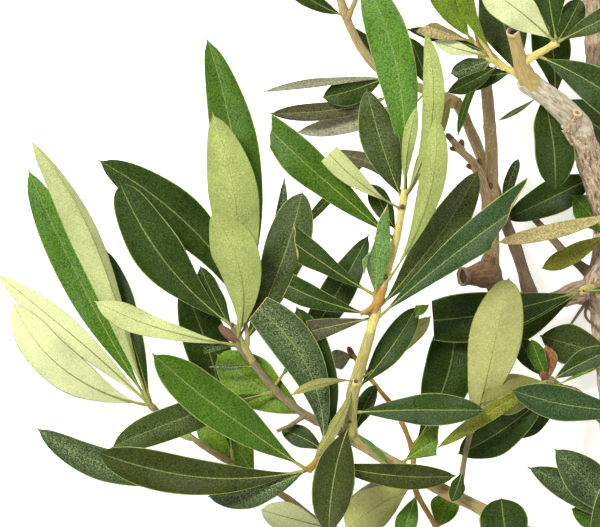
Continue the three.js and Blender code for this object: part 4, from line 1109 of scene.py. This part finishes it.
mainLimb = [[124, -122, 6.9], [119, -86, 6.9], [116, -50, 6.2], [113, -10, 6.6], [114, 30, 5.6],
            [110, 74, 4.8], [108, 103, 4.0]]
limbPath = Path([[x, y, radius + 0.5] for x, y, radius in mainLimb])
limbRadii = [radius for x, y, radius in mainLimb]
wood = {
    "limbWood": {
        "nodes": ["main_limb", "middle_bough"], "slot": "limb_bark", "bark": "limbBark",
        "sides": 40, "relief": 0.0009, "lumps": 0.0009, "seed": 3.0,
        "limbs": [
            (limbPath, limbRadii, 0.0, [(0.485, 0.5), (0.16, 0.5), (0.3, 0.6)]),
            (Path([[112.5, -17, 8], [111.7, -13, 8.8], [111.4, -9.5, 9], [111.7, -6, 8.8], [112.5, -2, 8]]),
             [5.5, 7.6, 8.1, 7.6, 5.5], 0.0, []),
            (Path([[112, -10, 8], [102, -10.8, 11], [94.5, -13.3, 13], [84, -15, 15], [75, -12, 17]]),
             [4.4, 3.3, 3.6], 0.3, []),
        ],
    },
    "forkWood": {
        "nodes": ["upper_bough"], "slot": "limb_bark", "bark": "fleckedBark",
        "sides": 40, "relief": 0.0008, "lumps": 0.0009, "seed": 4.0,
        "limbs": [(Path([[114, 18, 8], [109, 30, 17], [103, 45, 27], [100, 51, 31]]),
                   [4.9, 5.1], 0.35, [(0.88, 0.5)])],
    },
    "upperBoughWood": {
        "nodes": ["upper_bough"], "slot": "limb_bark", "bark": "paleBark",
        "sides": 40, "relief": 0.0006, "lumps": 0.0008, "seed": 3.0,
        "limbs": [(Path([[102.5, 48, 29], [99, 53, 33], [91.5, 60, 39], [81, 67, 45]]),
                   [4.9, 4.7, 4.2, 3.8], 0.0, [(0.06, 0.3), (0.9, 0.4)])],
    },
    "knotWood": {
        "nodes": ["upper_bough"], "slot": "limb_bark", "bark": "fleckedBark",
        "sides": 20, "relief": 0.0006, "lumps": 0.0008, "seed": 16.0,
        "limbs": [(Path([[98.5, 50, 33], [100.2, 53.4, 37], [100.8, 54.6, 38.4]]), [3.0, 2.3, 2.0], 0.3, [])],
    },
    "upperStubWood": {
        "nodes": ["upper_bough"], "slot": "limb_bark", "bark": "stubBark",
        "sides": 30, "relief": 0.0003, "lumps": 0.0004, "seed": 6.0,
        "limbs": [(Path([[84, 65, 43.5], [81, 70, 48], [77, 83, 60]]), [3.4, 2.9, 2.2], 0.2, [(0.25, 0.3)])],
    },
    "middleStubWood": {
        "nodes": ["middle_bough"], "slot": "limb_bark", "bark": "rustBark",
        "sides": 30, "relief": 0.0006, "lumps": 0.0008, "seed": 8.0,
        "limbs": [(Path([[71, -4, 20], [66, -4, 24], [60, -4.8, 28]]), [4.3, 4.4, 3.2], 0.1, [(0.4, 0.4)]),
                  (Path([[77, -13.5, 16], [72, -9, 18], [69, -1, 21], [70, 3, 22]]),
                   [3.8, 3.6, 3.4, 2.4], 0.0, [])],
    },
    "knobTwigWood": {
        "nodes": ["main_limb"], "slot": "twig_bark", "bark": "darkTwig",
        "sides": 16, "relief": 0.0002, "lumps": 0.0003, "seed": 10.0,
        "limbs": [
            (Path([[107, -4, 10], [98, 3.5, 8], [92, 10, 5.5], [85, 18, 3]]), [1.7, 1.3], 0.5, [(0.5, 0.2)]),
            (Path([[106.5, -12, 13], [103, -17, 15], [98.8, -23, 16]]), [0.55, 0.4], 0.3, []),
            (Path([[106.5, -12, 13], [104.6, -19, 14], [108, -23, 15]]), [0.55, 0.4], 0.3, []),
        ],
    },
    "lowStemWood": {
        "nodes": ["center_shoot"], "slot": "leaf_green", "bark": "greenTwig",
        "sides": 16, "relief": 0.0002, "lumps": 0.0003, "seed": 15.0,
        "limbs": [(Path([[18, -63, 38], [19, -48, 44], [24, -30, 50], [26, -23, 52]]),
                   [2.45, 2.35, 2.1, 1.6], 0.2, [])],
    },
    "nodeWood": {
        "nodes": ["center_shoot"], "slot": "leaf_green", "bark": "orangeTwig",
        "sides": 16, "relief": 0.0005, "lumps": 0.0006, "seed": 14.0,
        "limbs": [
            (Path([[30.3, -8.2, 55.3], [28.8, -12, 54.9], [26.6, -17.5, 53.8]]), [1.5, 2.1, 1.8], 0.0, []),
            (Path([[28, -14, 54.8], [24.5, -17, 55.6], [21.8, -18.2, 56]]), [1.1, 0.8], 0.2, []),
        ],
    },
    "leftNodeWood": {
        "nodes": ["left_shoot"], "slot": "leaf_deep", "bark": "greenTwig",
        "sides": 16, "relief": 0.0003, "lumps": 0.0004, "seed": 17.0,
        "limbs": [
            (Path([[-17.2, -35.6, 44.2], [-19.6, -31.5, 45.6], [-21.8, -27.5, 46.8], [-23.8, -22.5, 48]]),
             [1.35, 1.55, 1.15, 0.7], 0.0, []),
            (Path([[-19.6, -31.5, 45.6], [-19, -26, 46.8], [-20.6, -19.5, 48]]), [1.1, 0.7], 0.1, []),
        ],
    },
    "leftBudWood": {
        "nodes": ["left_shoot"], "slot": "leaf_deep", "bark": "rustBark",
        "sides": 16, "relief": 0.0004, "lumps": 0.0006, "seed": 18.0,
        "limbs": [(Path([[-21.4, -28.6, 46.8], [-24.4, -26.9, 47.4], [-27, -24.7, 48], [-29.2, -22.7, 48.4]]),
                   [0.9, 1.6, 1.55, 0.8], 0.0, [])],
    },
    "lowerBoughWood": {
        "nodes": ["lower_bough"], "slot": "twig_bark", "bark": "tanBark",
        "sides": 24, "relief": 0.0004, "lumps": 0.0005, "seed": 5.0,
        "limbs": [(Path([[121, -107, 8], [102, -105, 16], [84, -99, 22], [65, -89, 28], [47, -80, 33],
                         [31, -71, 36], [18, -63, 38]]), [2.7, 2.1], 0.9,
                   [(0.99, 0.3), (0.63, 0.35), (0.35, 0.35)])],
    },
    "bottomBoughWood": {
        "nodes": ["bottom_bough"], "slot": "twig_bark", "bark": "boughBark",
        "sides": 20, "relief": 0.0004, "lumps": 0.0004, "seed": 7.0,
        "limbs": [(Path([[97, -104, 16], [80, -108, 12], [65, -108, 11], [50, -106, 10], [37, -104, 10]]),
                   [2.2, 1.6], 0.5, [(0.5, 0.3), (0.98, 0.3)])],
    },
    "middleStemWood": {
        "nodes": ["middle_stem"], "slot": "twig_bark", "bark": "stemBark",
        "sides": 24, "relief": 0.0003, "lumps": 0.0004, "seed": 9.0,
        "limbs": [(Path([[70, -7, 19], [70.2, 8, 22], [70, 23, 24], [70, 41, 25], [68, 66, 26],
                         [67, 74, 26]]), [2.9, 2.3, 2.0], 0.1, [(0.4, 0.5), (0.7, 0.35)])],
    },
    "backTwigWood": {
        "nodes": ["back_twig"], "slot": "twig_bark", "bark": "stemBark",
        "sides": 20, "relief": 0.0003, "lumps": 0.0004, "seed": 11.0,
        "limbs": [(Path([[71.5, 27, 12], [69, 33, 12], [62, 50, 13], [57, 60, 14]]),
                   [2.0, 1.9], 0.1, [(0.8, 0.3)])],
    },
    "lowBackTwigWood": {
        "nodes": ["back_twig"], "slot": "twig_bark", "bark": "darkTwig",
        "sides": 20, "relief": 0.0003, "lumps": 0.0005, "seed": 12.0,
        "limbs": [(Path([[84.5, -12, 16], [80, 3, 14], [75.5, 15, 13], [71, 28, 12]]), [2.3, 1.95], 0.3,
                   [(0.45, 0.3), (0.95, 0.5)])],
    },
    "buddedTwigWood": {
        "nodes": ["budded_twig"], "slot": "budded_bark", "bark": "buddedBark",
        "sides": 18, "relief": 0.0004, "lumps": 0.0006, "seed": 13.0,
        "limbs": [(Path([[69, 19, 24], [67, 29, 27], [63.4, 36.5, 30], [59.5, 40.5, 32], [55, 45.5, 34]]),
                   [1.7, 1.4], 0.5, [(0.25, 0.7), (0.55, 0.6), (0.85, 0.6)])],
        "buds": [(0.25, 1, 2.0), (0.27, -1, 1.8), (0.55, 1, 1.9), (0.57, -1, 1.7), (0.85, 1, 1.8),
                 (0.87, -1, 1.6), (1.0, 0, 2.0)],
    },
}
woodBud = {"out": 1.7, "ahead": 0.6, "lengthwise": 1.2, "outward": 0.8, "rise": (0, 0, 0.3)}
for name, part in wood.items():
    path = part["limbs"][0][0]
    buds = []
    for at, hand, size in part.get("buds", []):
        along = path.heading(at)
        out = unit(np.cross(along, (0, 0, 1))) * hand
        spot = path.at(at) + out * woodBud["out"] + along * woodBud["ahead"]
        lean = along * woodBud["lengthwise"] + out * woodBud["outward"] + np.array(woodBud["rise"])
        buds.append((spot, unit(lean), size))
    made = makeWood(name, part["limbs"], buds, {
        "Sides": part["sides"], "Relief": part["relief"], "Lumps": part["lumps"], "Seed": part["seed"],
        "Bark": barkLook[part["bark"]], "Bud Bark": barkLook["redBud"]})
    keep(made, part["slot"], *part["nodes"])
print("wood grown:", len(wood))


# Cut faces: a pale rim and brown wood on the sawn and broken ends, a dark pith on the sawn end, and painted
# shade in the sunk middle of the broken ones

cutShape = {    # sizes with their waves round the face
    "sides": 36, "sunk": 0.5, "uneven": (0.04, 3), "fineUneven": (0.024, 7), "rough": (0.12, 5), "ringLag": 9,
}
cutRings = {    # from the rim inward: share of the radius, height in millimetres, material
    "sawn": [(1.0, -0.4, "cutRim"), (0.99, 0.3, "cutRim"), (0.86, 0.35, "cutWood"), (0.34, 0.3, "pithAndHoleShade"),
             (0.2, -0.2, "pithAndHoleShade")],
    # on the broken stubs the dark middle is painted shade standing for their hollow mouths
    "stubbed": [(1.0, -0.4, "stubBark"), (0.98, 1.3, "cutRim"), (0.78, 1.3, "cutWood"),
                (0.6, 0.3, "pithAndHoleShade"), (0.3, 0.15, "pithAndHoleShade")],
    "hollow": [(1.0, -0.4, "rustBark"), (0.98, 1.1, "rustBark"), (0.86, 1.1, "cutWood"),
               (0.74, 0.3, "pithAndHoleShade"), (0.3, 0.15, "pithAndHoleShade")],
    "knotted": [(1.0, -0.4, "fleckedBark"), (0.95, 0.5, "cutRim"), (0.7, 0.8, "cutRim"),
                (0.4, 0.5, "cutWood"), (0.2, 0.4, "cutWood")],
}


def makeCutFace(name, path, at, radius, rings):    # a shallow button over a limb's end
    shape = cutShape
    sides = shape["sides"]
    end = path.at(at)
    ahead = path.heading(at) * (1 if at > 0.5 else -1)
    one = unit(np.cross(ahead, (0, 0, 1)))
    two = np.cross(ahead, one)
    uneven, waves = shape["uneven"]
    fineUneven, fineWaves = shape["fineUneven"]
    rough, roughWaves = shape["rough"]
    spots = [end - ahead * shape["sunk"]]
    for part, height, material in rings:
        for side in range(sides):
            angle = math.tau * side / sides
            wave = 1 + uneven * math.sin(waves * angle + 1) + fineUneven * math.sin(fineWaves * angle)
            spoke = one * math.cos(angle) + two * math.sin(angle)
            lift = rough * math.sin(roughWaves * angle + part * shape["ringLag"]) if part < 1 else 0
            spots.append(end + spoke * radius * part * wave + ahead * (height + lift))
    spots.append(end + ahead * rings[-1][1])
    faces = []
    order = []
    for side in range(sides):
        after = (side + 1) % sides
        faces.append((0, 1 + side, 1 + after))
        order.append(0)
        for ring in range(len(rings) - 1):
            low = 1 + ring * sides
            high = low + sides
            faces.append((low + side, high + side, high + after, low + after))
            order.append(ring)
        last = 1 + (len(rings) - 1) * sides
        faces.append((last + side, len(spots) - 1, last + after))
        order.append(len(rings) - 1)
    mesh = bpy.data.meshes.new(name)
    mesh.from_pydata([tuple(inMetres(spot)) for spot in spots], [], faces)
    for part, height, material in rings:
        mesh.materials.append(barkLook[material])
    mesh.polygons.foreach_set("material_index", order)
    mesh.polygons.foreach_set("use_smooth", [True] * len(faces))
    made = addObject(name, mesh)
    mesh.validate()
    volume = 0
    for face in mesh.polygons:
        first, second, third = (mesh.vertices[index].co for index in face.vertices[:3])
        volume += first.dot(second.cross(third))
    if volume < 0:
        mesh.flip_normals()
    keep(made, "limb_bark")


makeCutFace("buttCut", limbPath, 0, 6.95, cutRings["sawn"])
makeCutFace("upperStubCut", wood["upperStubWood"]["limbs"][0][0], 1, 2.4, cutRings["stubbed"])
makeCutFace("middleStubCut", wood["middleStubWood"]["limbs"][0][0], 1, 3.5, cutRings["hollow"])
makeCutFace("knotCut", wood["knotWood"]["limbs"][0][0], 1, 2.0, cutRings["knotted"])
bpy.data.objects.remove(leafSection)
print("cut faces made")


# Floor, light and camera

studio = {    # metres
    "paper": (0.95, 0.95, 0.95, 1), "paperRoughness": 0.9, "sheetGlow": 0.5, "halfSheet": 30,
    "underPart": 0.0002, "white": (1, 1, 1, 1), "wallsTo": 0.45, "walls": 1.7, "ceilingFrom": 0.9,
    "ceiling": 0.08,
    "distance": 3.0, "sheetHeight": 0.04, "width": 0.2182, "look": (-0.0322, -0.0056), "sensor": 36,
    "farthest": 100, "lit": (-0.03, 0, 0.03),
    "lights": {"upperLeft": ((-0.8, 0.8, 1.5), 0.6, 60), "right": ((1.1, -0.3, 1.2), 0.8, 8)},
}


def makeFloor():
    size = studio["halfSheet"]
    mesh = bpy.data.meshes.new("floor")
    corners = [(-size, -size, 0), (size, -size, 0), (size, size, 0), (-size, size, 0)]
    mesh.from_pydata(corners, [], [(0, 1, 2, 3)])
    material = bpy.data.materials.new("whitePaper")
    material.use_nodes = True
    shader = material.node_tree.nodes["Principled BSDF"]
    looks = {"Base Color": studio["paper"], "Roughness": studio["paperRoughness"],
             "Emission Color": studio["white"], "Emission Strength": studio["sheetGlow"]}
    for label, value in looks.items():
        shader.inputs[label].default_value = value
    mesh.materials.append(material)
    floor = addObject("floor", mesh)
    lowest = min(corner.co.z for item in bpy.data.objects if item.type == "MESH" and item is not floor
                 and not item.hide_render for corner in item.data.vertices)
    floor.data.transform(Matrix.Translation((0, 0, min(0, lowest) - studio["underPart"])))


def makeRoom():    # bright towards its walls and dim overhead, where the camera stands
    world = bpy.data.worlds.new("pale")
    world.use_nodes = True
    tree = world.node_tree
    where = place(tree, "ShaderNodeTexCoord").outputs["Generated"]
    height = place(tree, "ShaderNodeSeparateXYZ", {0: where}).outputs["Z"]
    glow = remap(tree, height, studio["wallsTo"], studio["ceilingFrom"], studio["walls"], studio["ceiling"],
                 interpolation_type="SMOOTHSTEP")
    backdrop = tree.nodes["Background"]
    backdrop.inputs["Color"].default_value = studio["white"]
    tree.links.new(glow, backdrop.inputs["Strength"])
    return world


def addLight(name, spot, size, power):
    lamp = bpy.data.lights.new(name, "AREA")
    lamp.shape = "DISK"
    lamp.size = size
    lamp.energy = power
    made = addObject(name, lamp)
    made.location = spot
    made.rotation_euler = (Vector(studio["lit"]) - Vector(spot)).to_track_quat("-Z", "Y").to_euler()


def makeCamera():    # straight down, as the photo was taken
    lens = bpy.data.cameras.new("photo")
    lens.sensor_width = studio["sensor"]
    lens.lens = studio["sensor"] * studio["distance"] / studio["width"]
    lens.clip_end = studio["farthest"]
    camera = addObject("photo", lens)
    camera.location = (*studio["look"], studio["distance"] + studio["sheetHeight"])
    return camera


makeFloor()
scene = bpy.context.scene
scene.world = makeRoom()
for name, (spot, size, power) in studio["lights"].items():
    addLight(name, spot, size, power)
scene.camera = makeCamera()
scene.view_settings.view_transform = "Standard"
print("floor, light and camera set")
